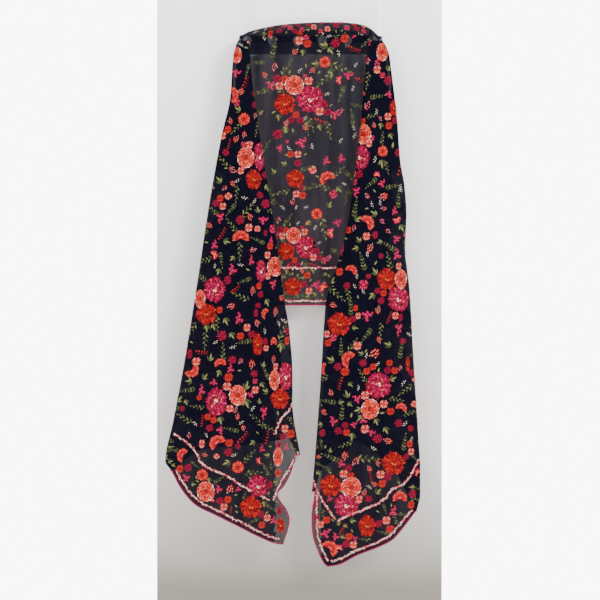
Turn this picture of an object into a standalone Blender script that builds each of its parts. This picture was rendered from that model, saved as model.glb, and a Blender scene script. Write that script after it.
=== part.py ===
"""A sheer embroidered dupatta hung shawl-fashion over a six-peg over-door rack.

The long cloth lies across the pegs with its upper edge bunched in a roll behind the discs.
Its middle hangs down in one leaf, and each end falls past the last peg as a folded bundle:
a front leaf, a leaf tucked behind it from the outer fold, a leaf that returns from the inner
fold, and a rear leaf that runs on into the middle.

Metres, +Z up. The viewer is on the -Y side. The door's front face is Y = 0, and the origin is
on top of the door, at its front edge, midway between the two straps.
"""
import math

import bpy
import numpy as np

MM = 0.001

# Rack, in millimetres
DOOR_THICKNESS = 40.0
STRAP_THICKNESS = 2.0
STRAP_WIDTH = 39.0
STRAP_OFFSET = 151.0
STRAP_BEND = 4.0
REAR_LIP = 30.0
PEG_AXIS_BELOW_DOOR_TOP = 150.0
PEG_COUNT = 6
PEG_SPACING = 61.0
PEG_RADIUS = 4.0
FLANGE_RADIUS = 7.0
FLANGE_THICKNESS = 1.5
DISC_RADIUS = 11.0
DISC_THICKNESS = 3.3
DISC_FRONT = 53.3
DISC_EDGE = 1.0
PEG_SIDES = 20
MERGE_REACH = 0.05
RAIL_LENGTH = 330.0
RAIL_HEIGHT = 45.0
RAIL_THICKNESS = 6.0
RAIL_EDGE = 1.5
BEND_STEPS = 3
TOUCH_GAP = 0.3

# Cloth, in millimetres
WALL = 1.2
PEG_AXIS_DROP = 7.9
SHOULDER_DROP = -4.1
SHOULDER_DIP = 4.0
SHOULDER_DIP_WIDTH = 26.0
LEAF_TOP_DROP = 12.0
CENTRE_DEPTH = 56.5
CENTRE_HEM_DROP = 653.0
LEAF_PITCH_TOP = 2.6
LEAF_PITCH_LOW = 7.2
PITCH_FULL_DROP = 260.0
TOP_HALF_WIDTH = 148.0
SLIT_EASE = 60.0
ROLL_BACK_DEPTH = 15.0
TOP_CORNER_RADIUS = 3.0
FALL_CORNER_RADIUS = 8.0
CORNER_STEPS = 3
GUSSET_TOP_DROP = 3.5
GUSSET_LOW_DROP = 170.0
TUCKED_START_DROP = 95.0
TUCKED_FULL_DROP = 330.0
TUCKED_EDGE_CLEAR = 5.0
TUCKED_LEAN = 0.6
LIFT_SHARE = 0.3
LIFT_END_DROP = 60.0
HIDDEN_INSET_TOP = 7.0
HIDDEN_INSET_LOW = 42.0
SEAM_INSET_TOP = 4.0
SEAM_INSET_LOW = 18.0
FRONT_BULGE = 7.0
BULGE_START_DROP = 40.0
BULGE_FULL_DROP = 400.0
RIPPLE_START_DROP = 30.0
RIPPLE_FULL_DROP = 200.0
RIPPLE_ENDS = 0.6
PIPING_RADIUS = 1.5
PIPING_CORNER = math.radians(35)

# Places in the ribbon that makes a bundle, counted in grid lines
ROWS_TO_SLIT = 17
ROWS_BELOW_SLIT = 6
TUCKED_COLUMNS = 7
FRONT_COLUMNS = 12
RETURN_COLUMNS = 7
REAR_COLUMNS = 4
FOLD_STEPS = 4
CENTRE_COLUMNS = 14
TOP_COLUMNS = 18
ROW_CROWDING = 1.25

# Silhouettes of each bundle: x from the rack's middle, drop below the line of the discs.
# The outer fold ends where the end hem starts. The inner line is a fold down to the slit,
# and from there the free long edge down to the cloth's corner.
LEFT = {
    "outer_fold": {
        "drop": (0, 26, 65, 146, 247, 420, 612, 785, 938, 1030, 1051),
        "x": (-166, -180, -187, -192, -214, -245, -274, -302, -331, -349, -336),
    },
    "inner_fold": {
        "drop": (0, 65, 281, 473, 653, 710, 826, 888, 1013),
        "x": (-148, -144, -115, -84, -60, -50, -42, -42, -24),
    },
    "free_edge": {
        "drop": (1013, 1087, 1109, 1150, 1169, 1229),
        "x": (-24, -62, -79, -55, -50, -65),
    },
    "end_hem": {
        "x": (-336, -311, -274, -226, -175, -127, -79, -65),
        "drop": (1051, 1092, 1133, 1157, 1182, 1207, 1227, 1229),
    },
    "tucked_hem": {
        "x": (-336, -262, -226, -151, -60),
        "drop": (1051, 1001, 996, 989, 975),
    },
    "return_hem": {
        "x": (-24, -90, -160, -235),
        "drop": (1013, 890, 770, 653),
    },
}
RIGHT = {
    "outer_fold": {
        "drop": (0, 46, 84, 142, 209, 305, 362, 430, 516, 612, 785, 977, 1044, 1111, 1150),
        "x": (170, 192, 197, 204, 211, 218, 228, 233, 230, 240, 250, 262, 266, 266, 257),
    },
    "inner_fold": {
        "drop": (0, 46, 238, 458, 535, 650, 833, 1008, 1102),
        "x": (148, 139, 120, 91, 72, 38, 26, 13, 5),
    },
    "free_edge": {
        "drop": (1102, 1178, 1205, 1243, 1277, 1282),
        "x": (5, 5, 7, 19, 36, 43),
    },
    "end_hem": {
        "x": (257, 218, 197, 170, 113, 67, 43),
        "drop": (1150, 1195, 1217, 1231, 1253, 1277, 1282),
    },
    "tucked_hem": {
        "x": (257, 216, 149, 90, 30),
        "drop": (1150, 1068, 1001, 970, 950),
    },
    "return_hem": {
        "x": (5, 22, 101, 205),
        "drop": (1102, 1061, 989, 653),
    },
}

# Soft folds that run down the cloth: a ridge stands towards the viewer, a trough away.
SOFT_FOLDS = {
    "x_top": (-150, -176, -150, -205, -120, 150, 186, 160, 196, 6, -40, 60),
    "drop_top": (60, 120, 330, 420, 560, 60, 110, 420, 640, 250, 330, 120),
    "x_low": (-170, -270, -102, -250, -128, 100, 170, 60, 130, 12, -30, 44),
    "drop_low": (640, 1080, 1140, 1120, 1160, 700, 1150, 1200, 1200, 660, 660, 560),
    "half_width": (26, 30, 13, 24, 15, 22, 30, 26, 24, 12, 20, 26),
    "height": (7, -6, 9, 6, -8, 7, -7, 8, -6, 5, -4, 3),
}

# How high the bunched roll stands above the line of the discs
ROLL = {
    "x": (-166, -148, -115, -60, 0, 40, 72, 110, 134, 148, 170),
    "height": (11, 17, 26, 35, 39, 40, 40, 37, 32, 25, 9),
}

# Section of the roll behind the discs, front to back: its height as a share of the roll's, and
# how far it lies below the shoulder. The free edge then curls back inside.
ROLL_SECTION = {
    "depth": (48.5, 44.0, 40.5, 36.5, 31.0, 26.0, 20.5, 15.5, 13.0),
    "share": (0.0, 0.0, 0.22, 0.66, 0.93, 1.00, 0.90, 0.55, 0.0),
    "below": (0.0, 2.2, 0.0, 0.0, 0.0, 0.0, 0.0, 0.0, 1.5),
}
ROLL_CURL = {
    "depth": (15.0, 22.0, 32.0, 36.5, 33.0, 24.0),
    "drop": (2.9, 3.1, 3.1, 1.6, -0.2, -0.4),
}


def smooth_step(low, high, value):
    """Rise from 0 at low to 1 at high, level at both ends."""
    share = min(1.0, max(0.0, (value - low) / (high - low)))
    return share * share * (3.0 - 2.0 * share)


def smooth_curve(places, values, where):
    """Read a smooth curve through the table's points that never overshoots them."""
    places = np.asarray(places, dtype=float)
    values = np.asarray(values, dtype=float)
    gaps = np.diff(places)
    slopes = np.diff(values) / gaps
    tangents = np.zeros(len(places))
    tangents[0] = slopes[0]
    tangents[-1] = slopes[-1]
    for index in range(1, len(slopes)):
        before, after = slopes[index - 1], slopes[index]
        if before * after > 0:
            tangents[index] = 2.0 * before * after / (before + after)
    where = min(max(float(where), places[0]), places[-1])
    cell = min(int(np.searchsorted(places, where, side="right")) - 1, len(gaps) - 1)
    share = (where - places[cell]) / gaps[cell]
    rise = values[cell + 1] - values[cell]
    start = tangents[cell] * gaps[cell] - rise
    finish = rise - tangents[cell + 1] * gaps[cell]
    bend = (start * (1.0 - share) + finish * share) * share * (1.0 - share)
    return values[cell] + rise * share + bend


def x_at(line, drop):
    """Read the x of a line that runs down the cloth."""
    return smooth_curve(line["drop"], line["x"], drop)


def leaf_pitch(drop):
    """Depth from one leaf of a bundle to the next: tight at the pegs, looser lower down."""
    return LEAF_PITCH_TOP + (LEAF_PITCH_LOW - LEAF_PITCH_TOP) * smooth_step(0.0, PITCH_FULL_DROP, drop)


def ripple(x, drop):
    """Depth that the soft folds add at one place, shared by every leaf there."""
    total = 0.0
    for x_top, drop_top, x_low, drop_low, half_width, height in zip(*SOFT_FOLDS.values()):
        share = (drop - drop_top) / (drop_low - drop_top)
        if not 0.0 < share < 1.0:
            continue
        offset = (x - x_top - (x_low - x_top) * share) / half_width
        total += height * math.exp(-offset * offset) * math.sin(math.pi * share) ** RIPPLE_ENDS
    return total * smooth_step(RIPPLE_START_DROP, RIPPLE_FULL_DROP, drop)


def cloth_point(x, drop, leaf):
    """Place a point of the cloth: leaf 0 is the middle and rear, 1 returns, 2 is tucked, 3 is front."""
    depth = CENTRE_DEPTH + leaf * leaf_pitch(drop) + ripple(x, drop)
    return (x * MM, -depth * MM, drop_to_z(drop))


def drop_to_z(drop):
    """Height of a drop below the line of the discs."""
    return (PEG_AXIS_DROP - PEG_AXIS_BELOW_DOOR_TOP - drop) * MM


def coons(left, right, top, bottom, rows, columns):
    """Fill a four-sided patch from its boundary lines, each a function of 0 to 1."""
    grid = []
    for row in range(rows + 1):
        v = row / rows
        line = []
        for column in range(columns + 1):
            u = column / columns
            sides = (1 - u) * left(v) + u * right(v)
            ends = (1 - v) * top(u) + v * bottom(u)
            corners = (1 - v) * ((1 - u) * left(0) + u * right(0)) + v * ((1 - u) * left(1) + u * right(1))
            line.append(sides + ends - corners)
        grid.append(line)
    return grid


def straight(start, finish):
    """A straight boundary line."""
    return lambda share: start + (finish - start) * share


def through(points):
    """A smooth boundary line through points, measured by their spacing."""
    points = np.asarray(points, dtype=float)
    lengths = np.concatenate([[0.0], np.cumsum(np.hypot(*np.diff(points, axis=0).T))])
    lengths = lengths / lengths[-1]
    return lambda share: np.array([
        smooth_curve(lengths, points[:, 0], share),
        smooth_curve(lengths, points[:, 1], share),
    ])


def rear_drop(share):
    """Drop of a row of the middle and the rear leaves, as a share of their rows from 0 to 1."""
    return LEAF_TOP_DROP + (CENTRE_HEM_DROP - LEAF_TOP_DROP) * share ** ROW_CROWDING


class Bundle:
    """The folded end of the cloth on one side of the rack."""

    def __init__(self, table, side):
        self.table = table
        self.side = side
        self.slit_drop = table["free_edge"]["drop"][0]
        self.corner_drop = table["free_edge"]["drop"][-1]
        self.hem_start_drop = table["outer_fold"]["drop"][-1]
        self.rows = ROWS_TO_SLIT + ROWS_BELOW_SLIT

    def outer(self, drop):
        """Silhouette of the outer fold."""
        return x_at(self.table["outer_fold"], drop)

    def inner(self, drop):
        """Silhouette of the inner fold, and of the free edge below the slit."""
        if drop <= self.slit_drop:
            return x_at(self.table["inner_fold"], drop)
        return x_at(self.table["free_edge"], drop)

    def hidden_fold(self, drop):
        """Fold between the return leaf and the rear leaf, kept inside the outer silhouette."""
        lower = smooth_step(0.0, CENTRE_HEM_DROP, drop)
        inset = HIDDEN_INSET_TOP + (HIDDEN_INSET_LOW - HIDDEN_INSET_TOP) * lower
        return self.outer(drop) - self.side * inset

    def seam(self, drop):
        """Line behind the bundle where the rear leaf meets the middle of the cloth."""
        lower = smooth_step(0.0, PITCH_FULL_DROP, drop)
        inset = SEAM_INSET_TOP + (SEAM_INSET_LOW - SEAM_INSET_TOP) * lower
        return self.inner(drop) + self.side * inset

    def inner_drop(self, row_share):
        """Drop of a row on the inner line, as a share of the rows from 0 to 1."""
        slit_share = ROWS_TO_SLIT / self.rows
        if row_share <= slit_share:
            reach = (row_share / slit_share) ** ROW_CROWDING
            return LEAF_TOP_DROP + (self.slit_drop - LEAF_TOP_DROP) * reach
        reach = (row_share - slit_share) / (1 - slit_share)
        return self.slit_drop + (self.corner_drop - self.slit_drop) * reach

    def outer_drop(self, row_share):
        """Drop of a row on the outer fold."""
        reach = (self.inner_drop(row_share) - LEAF_TOP_DROP) / (self.corner_drop - LEAF_TOP_DROP)
        return LEAF_TOP_DROP + (self.hem_start_drop - LEAF_TOP_DROP) * reach

    def front_leaf(self):
        """Grid of the front leaf from the outer fold to the inner line."""
        def left(v):
            drop = self.outer_drop(v)
            return np.array([self.outer(drop) - self.side * leaf_pitch(drop) / 2, drop])

        def right(v):
            drop = self.inner_drop(v)
            below = smooth_step(self.slit_drop, self.slit_drop + SLIT_EASE, drop)
            inset = leaf_pitch(drop) * (1.0 - below)
            return np.array([self.inner(drop) + self.side * inset, drop])

        hem = list(zip(self.table["end_hem"]["x"], self.table["end_hem"]["drop"]))
        hem[0] = tuple(left(1.0))
        return coons(left, right, straight(left(0), right(0)), through(hem), self.rows, FRONT_COLUMNS)

    def tucked_leaf(self):
        """Grid of the leaf behind the front one, from its free edge to the outer fold."""
        hem = list(zip(self.table["tucked_hem"]["x"], self.table["tucked_hem"]["drop"]))[::-1]

        def left(v):
            drop = LEAF_TOP_DROP + (hem[0][1] - LEAF_TOP_DROP) * v
            low_clear = abs(hem[0][0] - self.inner(hem[0][1]))
            clear = TUCKED_EDGE_CLEAR + (low_clear - TUCKED_EDGE_CLEAR) * smooth_step(0.0, 1.0, v)
            return np.array([self.inner(drop) + self.side * clear, drop])

        def right(v):
            drop = self.outer_drop(v)
            return np.array([self.outer(drop) - self.side * leaf_pitch(drop) / 2, drop])

        hem[-1] = tuple(right(1.0))
        hem[0] = tuple(left(1.0))
        return coons(left, right, straight(left(0), right(0)), through(hem), self.rows, TUCKED_COLUMNS)

    def tucked_points(self):
        """The tucked leaf in space. At the pegs it runs straight back instead, and closes the side."""
        rows = []
        for line in self.tucked_leaf():
            points = []
            for column, (x, drop) in enumerate(line):
                share = 1.0 - column / TUCKED_COLUMNS
                turned = 1.0 - smooth_step(TUCKED_START_DROP, TUCKED_FULL_DROP, drop)
                x = x + (line[-1][0] + self.side * TUCKED_LEAN * share - x) * turned
                back = 1.0 - smooth_step(LEAF_TOP_DROP, GUSSET_LOW_DROP, drop)
                reach = CENTRE_DEPTH + 2 * leaf_pitch(drop) - ROLL_BACK_DEPTH
                lift = (LEAF_TOP_DROP - GUSSET_TOP_DROP) * smooth_step(0.0, LIFT_SHARE, share)
                lift *= 1.0 - smooth_step(LEAF_TOP_DROP, LIFT_END_DROP, drop)
                x, y, z = cloth_point(x, drop, 2)
                points.append((x, y + reach * share * back * MM, z + lift * MM))
            rows.append(points)
        return rows

    def return_leaf(self):
        """Grid of the leaf that runs from the inner fold back to the hidden fold."""
        slit_share = ROWS_TO_SLIT / self.rows

        def left(v):
            drop = self.inner_drop(v * slit_share)
            return np.array([self.inner(drop) + self.side * leaf_pitch(drop), drop])

        def right(v):
            drop = rear_drop(v)
            return np.array([self.hidden_fold(drop) - self.side * leaf_pitch(drop) / 2, drop])

        hem = list(zip(self.table["return_hem"]["x"], self.table["return_hem"]["drop"]))
        hem[0] = tuple(left(1.0))
        hem[-1] = tuple(right(1.0))
        return coons(left, right, straight(left(0), right(0)), through(hem), ROWS_TO_SLIT, RETURN_COLUMNS)

    def rear_leaf(self):
        """Grid of the leaf that runs from the hidden fold to the seam with the middle."""
        def left(v):
            drop = rear_drop(v)
            return np.array([self.hidden_fold(drop) - self.side * leaf_pitch(drop) / 2, drop])

        def right(v):
            drop = rear_drop(v)
            return np.array([self.seam(drop) + self.side * TOUCH_GAP / 2, drop])

        top = straight(left(0), right(0))
        return coons(left, right, top, straight(left(1), right(1)), ROWS_TO_SLIT, REAR_COLUMNS)

    def front_bulge(self, u, drop):
        """How far the middle of the front leaf stands out from its folds."""
        return FRONT_BULGE * smooth_step(BULGE_START_DROP, BULGE_FULL_DROP, drop) * 4.0 * u * (1.0 - u)

    def fold_arc(self, first, last, outward):
        """Half-round fold between two edge points, first and last, bulging towards outward."""
        first = np.array(first)
        last = np.array(last)
        middle = (first + last) / 2
        radius = abs(first[1] - last[1]) / 2
        points = []
        for step in range(1, FOLD_STEPS):
            turn = math.pi * step / FOLD_STEPS
            along = middle + (first - middle) * math.cos(turn)
            along = along + np.array([outward * radius * math.sin(turn), 0.0, 0.0])
            points.append(tuple(along))
        return points

    def rows_of_points(self):
        """The whole ribbon, row by row, and how many points a row has above the slit and below."""
        tucked = self.tucked_points()
        front = []
        for line in self.front_leaf():
            points = []
            for column, place in enumerate(line):
                x, y, z = cloth_point(*place, 3)
                points.append((x, y - self.front_bulge(column / FRONT_COLUMNS, place[1]) * MM, z))
            front.append(points)
        back = [[cloth_point(*place, 1) for place in line] for line in self.return_leaf()]
        rear = [[cloth_point(*place, 0) for place in line] for line in self.rear_leaf()]
        rows = []
        for index in range(self.rows + 1):
            row = list(tucked[index])
            row += self.fold_arc(tucked[index][-1], front[index][0], self.side)
            row += front[index]
            if index <= ROWS_TO_SLIT:
                row += self.fold_arc(front[index][-1], back[index][0], -self.side)
                row += back[index]
                row += self.fold_arc(back[index][-1], rear[index][0], self.side)
                row += rear[index]
            rows.append(row)
        return rows

    def front_columns(self):
        """First and last column of the front leaf within a row."""
        first = TUCKED_COLUMNS + FOLD_STEPS
        return first, first + FRONT_COLUMNS


def roll_path(x, front_depth, corner_radius, curled):
    """Section of the cloth over the pegs at one x: (depth, drop) from the leaf's top to the back."""
    reach = abs(x) - TOP_HALF_WIDTH
    shoulder = SHOULDER_DROP + SHOULDER_DIP * smooth_step(0.0, SHOULDER_DIP_WIDTH, reach)
    height = smooth_curve(ROLL["x"], ROLL["height"], x)
    path = [(front_depth, (LEAF_TOP_DROP + shoulder + corner_radius) / 2)]
    for step in range(CORNER_STEPS + 1):
        turn = math.pi / 2 * step / CORNER_STEPS
        depth = front_depth - corner_radius * (1.0 - math.cos(turn))
        path.append((depth, shoulder + corner_radius * (1.0 - math.sin(turn))))
    for depth, share, below in zip(*ROLL_SECTION.values()):
        path.append((depth, shoulder - share * height + below))
    if curled:
        path += list(zip(*ROLL_CURL.values()))
    return path


def new_material(name, colour, roughness, metallic=0.0):
    """A plain Principled material."""
    material = bpy.data.materials.new(name)
    material.use_nodes = True
    shader = material.node_tree.nodes["Principled BSDF"]
    shader.inputs["Base Color"].default_value = (*colour, 1.0)
    shader.inputs["Roughness"].default_value = roughness
    shader.inputs["Metallic"].default_value = metallic
    material.diffuse_color = (*colour, 1.0)
    return material


def place_object(name, data, collection, material):
    """Link a new object and give it its material."""
    thing = bpy.data.objects.new(name, data)
    collection.objects.link(thing)
    data.materials.append(material)
    return thing


def sheet_object(name, rows, thickness, collection, material, strip=(), strip_column=0):
    """A wall of even thickness on rows of points; a row may be shorter than the one above.

    The rows of strip go on upwards from the first row, from its column strip_column.
    """
    starts = []
    points = []
    for row in [*rows, *strip]:
        starts.append(len(points))
        points += row
    faces = []

    def join(above_start, below_start, count):
        for column in range(count - 1):
            above = above_start + column
            below = below_start + column
            faces.append((above, below, below + 1, above + 1))

    for index in range(len(rows) - 1):
        join(starts[index], starts[index + 1], min(len(rows[index]), len(rows[index + 1])))
    below_start = starts[0] + strip_column
    for index, row in enumerate(strip):
        above_start = starts[len(rows) + index]
        join(above_start, below_start, len(row))
        below_start = above_start
    mesh = bpy.data.meshes.new(name)
    mesh.from_pydata(points, [], faces)
    mesh.update()
    mesh.shade_smooth()
    thing = place_object(name, mesh, collection, material)
    wall = thing.modifiers.new("wall", "SOLIDIFY")
    wall.thickness = thickness * MM
    wall.offset = 0.0
    return thing


def over_strip_rows(bundle, row):
    """Rows that carry the front leaf up over the end disc and back along the roll."""
    first, last = bundle.front_columns()
    columns = []
    for point in row[first:last + 1]:
        x = point[0] / MM
        depth = -point[1] / MM
        path = roll_path(x, depth, FALL_CORNER_RADIUS, False)
        columns.append([(x * MM, -back * MM, drop_to_z(drop)) for back, drop in path])
    return [list(line) for line in zip(*columns)]


def bundle_object(name, bundle, collection, material):
    """The folded bundle with its strip over the pegs, as one wall."""
    rows = bundle.rows_of_points()
    strip = over_strip_rows(bundle, rows[0])
    first = bundle.front_columns()[0]
    return sheet_object(name, rows, WALL, collection, material, strip, first)


def centre_rows(left, right):
    """Rows of the single leaf that hangs between the two bundles."""
    rows = []
    for index in range(ROWS_TO_SLIT + 1):
        drop = rear_drop(index / ROWS_TO_SLIT)
        start = left.seam(drop) + TOUCH_GAP / 2
        finish = right.seam(drop) - TOUCH_GAP / 2
        row = []
        for column in range(CENTRE_COLUMNS + 1):
            x = start + (finish - start) * column / CENTRE_COLUMNS
            row.append(cloth_point(x, drop, 0))
        rows.append(row)
    return rows


def top_rows():
    """Rows of the cloth that lies over the pegs, with its bunched upper edge."""
    columns = []
    reach = TOP_HALF_WIDTH - TOUCH_GAP
    for column in range(TOP_COLUMNS + 1):
        x = -reach + 2 * reach * column / TOP_COLUMNS
        path = [(CENTRE_DEPTH, LEAF_TOP_DROP - TOUCH_GAP)]
        path += roll_path(x, CENTRE_DEPTH, TOP_CORNER_RADIUS, True)
        columns.append([(x * MM, -depth * MM, drop_to_z(drop)) for depth, drop in path])
    return [list(line) for line in zip(*columns)]


def unit(vector):
    """A vector of length 1."""
    return vector / np.linalg.norm(vector)


def piping_line(edge, inside):
    """Centre line of the piping just outside an edge; inside holds each point's neighbour in the leaf."""
    edge = [np.array(point) for point in edge]
    offset = (PIPING_RADIUS + TOUCH_GAP) * MM
    sides = []
    for start, finish, neighbour in zip(edge, edge[1:], inside):
        along = unit(finish - start)
        inward = np.array(neighbour) - start
        sides.append(-unit(inward - along * np.dot(inward, along)))
    line = [edge[0] + sides[0] * offset]
    for index in range(1, len(edge) - 1):
        before, after = sides[index - 1], sides[index]
        middle = unit(before + after)
        half_turn = math.acos(min(1.0, np.dot(before, middle)))
        outward = np.dot(edge[index + 1] - edge[index], before) < 0
        if outward and 2 * half_turn > PIPING_CORNER:
            line += [edge[index] + way * offset for way in (before, middle, after)]
        else:
            line.append(edge[index] + middle * offset / math.cos(half_turn))
    line.append(edge[-1] + sides[-1] * offset)
    return line


def piping_object(name, line, collection, material):
    """A round piping along a line of points."""
    curve = bpy.data.curves.new(name, "CURVE")
    curve.dimensions = "3D"
    curve.bevel_depth = PIPING_RADIUS * MM
    curve.bevel_resolution = 1
    curve.use_fill_caps = True
    spline = curve.splines.new("POLY")
    spline.points.add(len(line) - 1)
    for knot, point in zip(spline.points, line):
        knot.co = (*point, 1.0)
    return place_object(name, curve, collection, material)


def bundle_piping(name, bundle, collection, material):
    """One piping from the tucked leaf's hem round the corner and up the long edge to the seam."""
    rows = bundle.rows_of_points()
    last = bundle.front_columns()[1]
    hem, above_hem = rows[-1], rows[-2]
    free_rows = rows[-2:ROWS_TO_SLIT:-1]
    slit, above_slit = rows[ROWS_TO_SLIT], rows[ROWS_TO_SLIT - 1]
    edge = hem[:last + 1] + [row[last] for row in free_rows] + slit[last:]
    inside = above_hem[:last] + [hem[last - 1]] + [row[last - 1] for row in free_rows] + above_slit[last:]
    return piping_object(name, piping_line(edge, inside), collection, material)


def strap_object(name, x, collection, material):
    """A flat strap hooked over the door: rear lip, bridge and front leg."""
    half = STRAP_THICKNESS / 2
    back = DOOR_THICKNESS + half
    low = drop_to_z(PEG_AXIS_DROP + RAIL_HEIGHT / 2) / MM
    path = [(back, -REAR_LIP)]
    for centre_y, turn_start in ((back - STRAP_BEND, 0.0), (STRAP_BEND - half, math.pi / 2)):
        for step in range(BEND_STEPS + 1):
            turn = turn_start + math.pi / 2 * step / BEND_STEPS
            y = centre_y + STRAP_BEND * math.cos(turn)
            z = half - STRAP_BEND + STRAP_BEND * math.sin(turn)
            path.append((y, z))
    path.append((-half, low))
    rows = []
    for y, z in path:
        rows.append([((x + edge) * MM, y * MM, z * MM) for edge in (-STRAP_WIDTH / 2, STRAP_WIDTH / 2)])
    return sheet_object(name, rows, STRAP_THICKNESS, collection, material)


def rail_object(name, collection, material):
    """The flat rail that carries the pegs."""
    bpy.ops.mesh.primitive_cube_add(size=1.0)
    rail = bpy.context.active_object
    rail.name = name
    rail.data.name = name
    rail.scale = (RAIL_LENGTH * MM, RAIL_THICKNESS * MM, RAIL_HEIGHT * MM)
    rail.location = (
        0.0,
        -(STRAP_THICKNESS + TOUCH_GAP + RAIL_THICKNESS / 2) * MM,
        drop_to_z(PEG_AXIS_DROP),
    )
    bpy.ops.object.transform_apply(location=False, rotation=False, scale=True)
    for owner in list(rail.users_collection):
        owner.objects.unlink(rail)
    collection.objects.link(rail)
    edges = rail.modifiers.new("edges", "BEVEL")
    edges.width = RAIL_EDGE * MM
    edges.segments = 2
    rail.data.materials.append(material)
    return rail


def peg_object(name, x, collection, material):
    """A turned peg: flange on the rail, round shaft and disc end."""
    root = STRAP_THICKNESS + 2 * TOUCH_GAP + RAIL_THICKNESS
    disc_back = DISC_FRONT - DISC_THICKNESS
    profile = [
        (0.0, DISC_FRONT),
        (DISC_RADIUS - DISC_EDGE, DISC_FRONT),
        (DISC_RADIUS, DISC_FRONT - DISC_EDGE),
        (DISC_RADIUS, disc_back + DISC_EDGE),
        (DISC_RADIUS - DISC_EDGE, disc_back),
        (PEG_RADIUS, disc_back),
        (PEG_RADIUS, root + FLANGE_THICKNESS),
        (FLANGE_RADIUS, root + FLANGE_THICKNESS),
        (FLANGE_RADIUS, root),
        (0.0, root),
    ]
    mesh = bpy.data.meshes.new(name)
    points = [(radius * MM, 0.0, depth * MM) for radius, depth in profile]
    mesh.from_pydata(points, [(i, i + 1) for i in range(len(points) - 1)], [])
    peg = place_object(name, mesh, collection, material)
    turn = peg.modifiers.new("turn", "SCREW")
    turn.steps = PEG_SIDES
    turn.render_steps = PEG_SIDES
    turn.use_merge_vertices = True
    turn.merge_threshold = MERGE_REACH * MM
    peg.rotation_euler = (math.pi / 2, 0.0, 0.0)
    peg.location = (x * MM, 0.0, drop_to_z(PEG_AXIS_DROP))
    return peg


def main():
    for thing in list(bpy.data.objects):
        bpy.data.objects.remove(thing, do_unlink=True)
    collection = bpy.data.collections.new("dupatta_on_rack")
    bpy.context.scene.collection.children.link(collection)

    white_paint = new_material("white_paint", (0.80, 0.80, 0.79), 0.35)
    georgette = new_material("navy_georgette", (0.012, 0.014, 0.035), 0.75)
    trim = new_material("magenta_piping", (0.42, 0.02, 0.11), 0.6)

    for name, x in (("strap_left", -STRAP_OFFSET), ("strap_right", STRAP_OFFSET)):
        strap_object(name, x, collection, white_paint)
    rail_object("rail", collection, white_paint)
    for number in range(PEG_COUNT):
        x = (number - (PEG_COUNT - 1) / 2) * PEG_SPACING
        peg_object(f"peg_{number + 1}", x, collection, white_paint)

    left = Bundle(LEFT, -1)
    right = Bundle(RIGHT, 1)
    middle = centre_rows(left, right)
    sheet_object("cloth_middle", middle, WALL, collection, georgette)
    sheet_object("cloth_top_roll", top_rows(), WALL, collection, georgette)
    bundle_object("cloth_left_fall", left, collection, georgette)
    bundle_object("cloth_right_fall", right, collection, georgette)

    piping_object("piping_middle", piping_line(middle[-1], middle[-2]), collection, trim)
    bundle_piping("piping_left", left, collection, trim)
    bundle_piping("piping_right", right, collection, trim)


main()
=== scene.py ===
"""The sheer embroidered dupatta on its rack, dressed for the photograph's view.

Until a point is placed, lengths are in millimetres: x to the right, drop below the line of the
discs, and depth in front of the door. Each CAD cloth node is replaced by one fine sheet, and the
embroidery is a mesh of small domed stitches laid along it.
"""

import math

import bpy
import numpy as np
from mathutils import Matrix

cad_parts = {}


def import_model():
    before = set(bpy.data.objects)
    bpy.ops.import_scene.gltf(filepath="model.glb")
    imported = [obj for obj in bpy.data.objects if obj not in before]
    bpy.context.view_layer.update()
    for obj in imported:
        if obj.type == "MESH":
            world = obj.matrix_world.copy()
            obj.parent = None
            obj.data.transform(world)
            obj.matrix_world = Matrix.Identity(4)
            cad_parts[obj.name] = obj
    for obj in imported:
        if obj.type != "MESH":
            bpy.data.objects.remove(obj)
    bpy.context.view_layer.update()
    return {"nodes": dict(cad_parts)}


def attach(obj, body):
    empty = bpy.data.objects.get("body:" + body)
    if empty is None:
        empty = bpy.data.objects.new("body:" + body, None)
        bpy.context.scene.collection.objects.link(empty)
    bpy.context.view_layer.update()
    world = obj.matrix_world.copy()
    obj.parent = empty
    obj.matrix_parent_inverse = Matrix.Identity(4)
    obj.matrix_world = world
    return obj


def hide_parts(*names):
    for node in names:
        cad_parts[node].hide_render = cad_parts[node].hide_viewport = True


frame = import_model()

MM = 0.001

# Rack and cloth, as in the solids
PEG_AXIS_BELOW_DOOR_TOP = 150.0
PEG_AXIS_DROP = 7.9
SHOULDER_DROP = -4.1
SHOULDER_DIP = 4.0
SHOULDER_DIP_WIDTH = 26.0
LEAF_TOP_DROP = 12.0
CENTRE_DEPTH = 56.5
CENTRE_HEM_DROP = 653.0
LEAF_PITCH_TOP = 2.6
LEAF_PITCH_LOW = 7.2
PITCH_FULL_DROP = 260.0
TOP_HALF_WIDTH = 148.0
SLIT_EASE = 60.0
ROLL_BACK_DEPTH = 15.0
TOP_CORNER_RADIUS = 3.0
FALL_CORNER_RADIUS = 8.0
CORNER_STEPS = 3
GUSSET_TOP_DROP = 3.5
GUSSET_LOW_DROP = 170.0
TUCKED_START_DROP = 95.0
TUCKED_FULL_DROP = 330.0
TUCKED_EDGE_CLEAR = 5.0
TUCKED_LEAN = 0.6
LIFT_SHARE = 0.3
LIFT_END_DROP = 60.0
HIDDEN_INSET_TOP = 7.0
HIDDEN_INSET_LOW = 42.0
SEAM_INSET_TOP = 4.0
SEAM_INSET_LOW = 18.0
FRONT_BULGE = 7.0
BULGE_START_DROP = 40.0
BULGE_FULL_DROP = 400.0
RIPPLE_START_DROP = 30.0
RIPPLE_FULL_DROP = 200.0
RIPPLE_ENDS = 0.6
PIPING_RADIUS = 1.5
ROW_CROWDING = 1.25
SLIT_SHARE = 17 / 23

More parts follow.
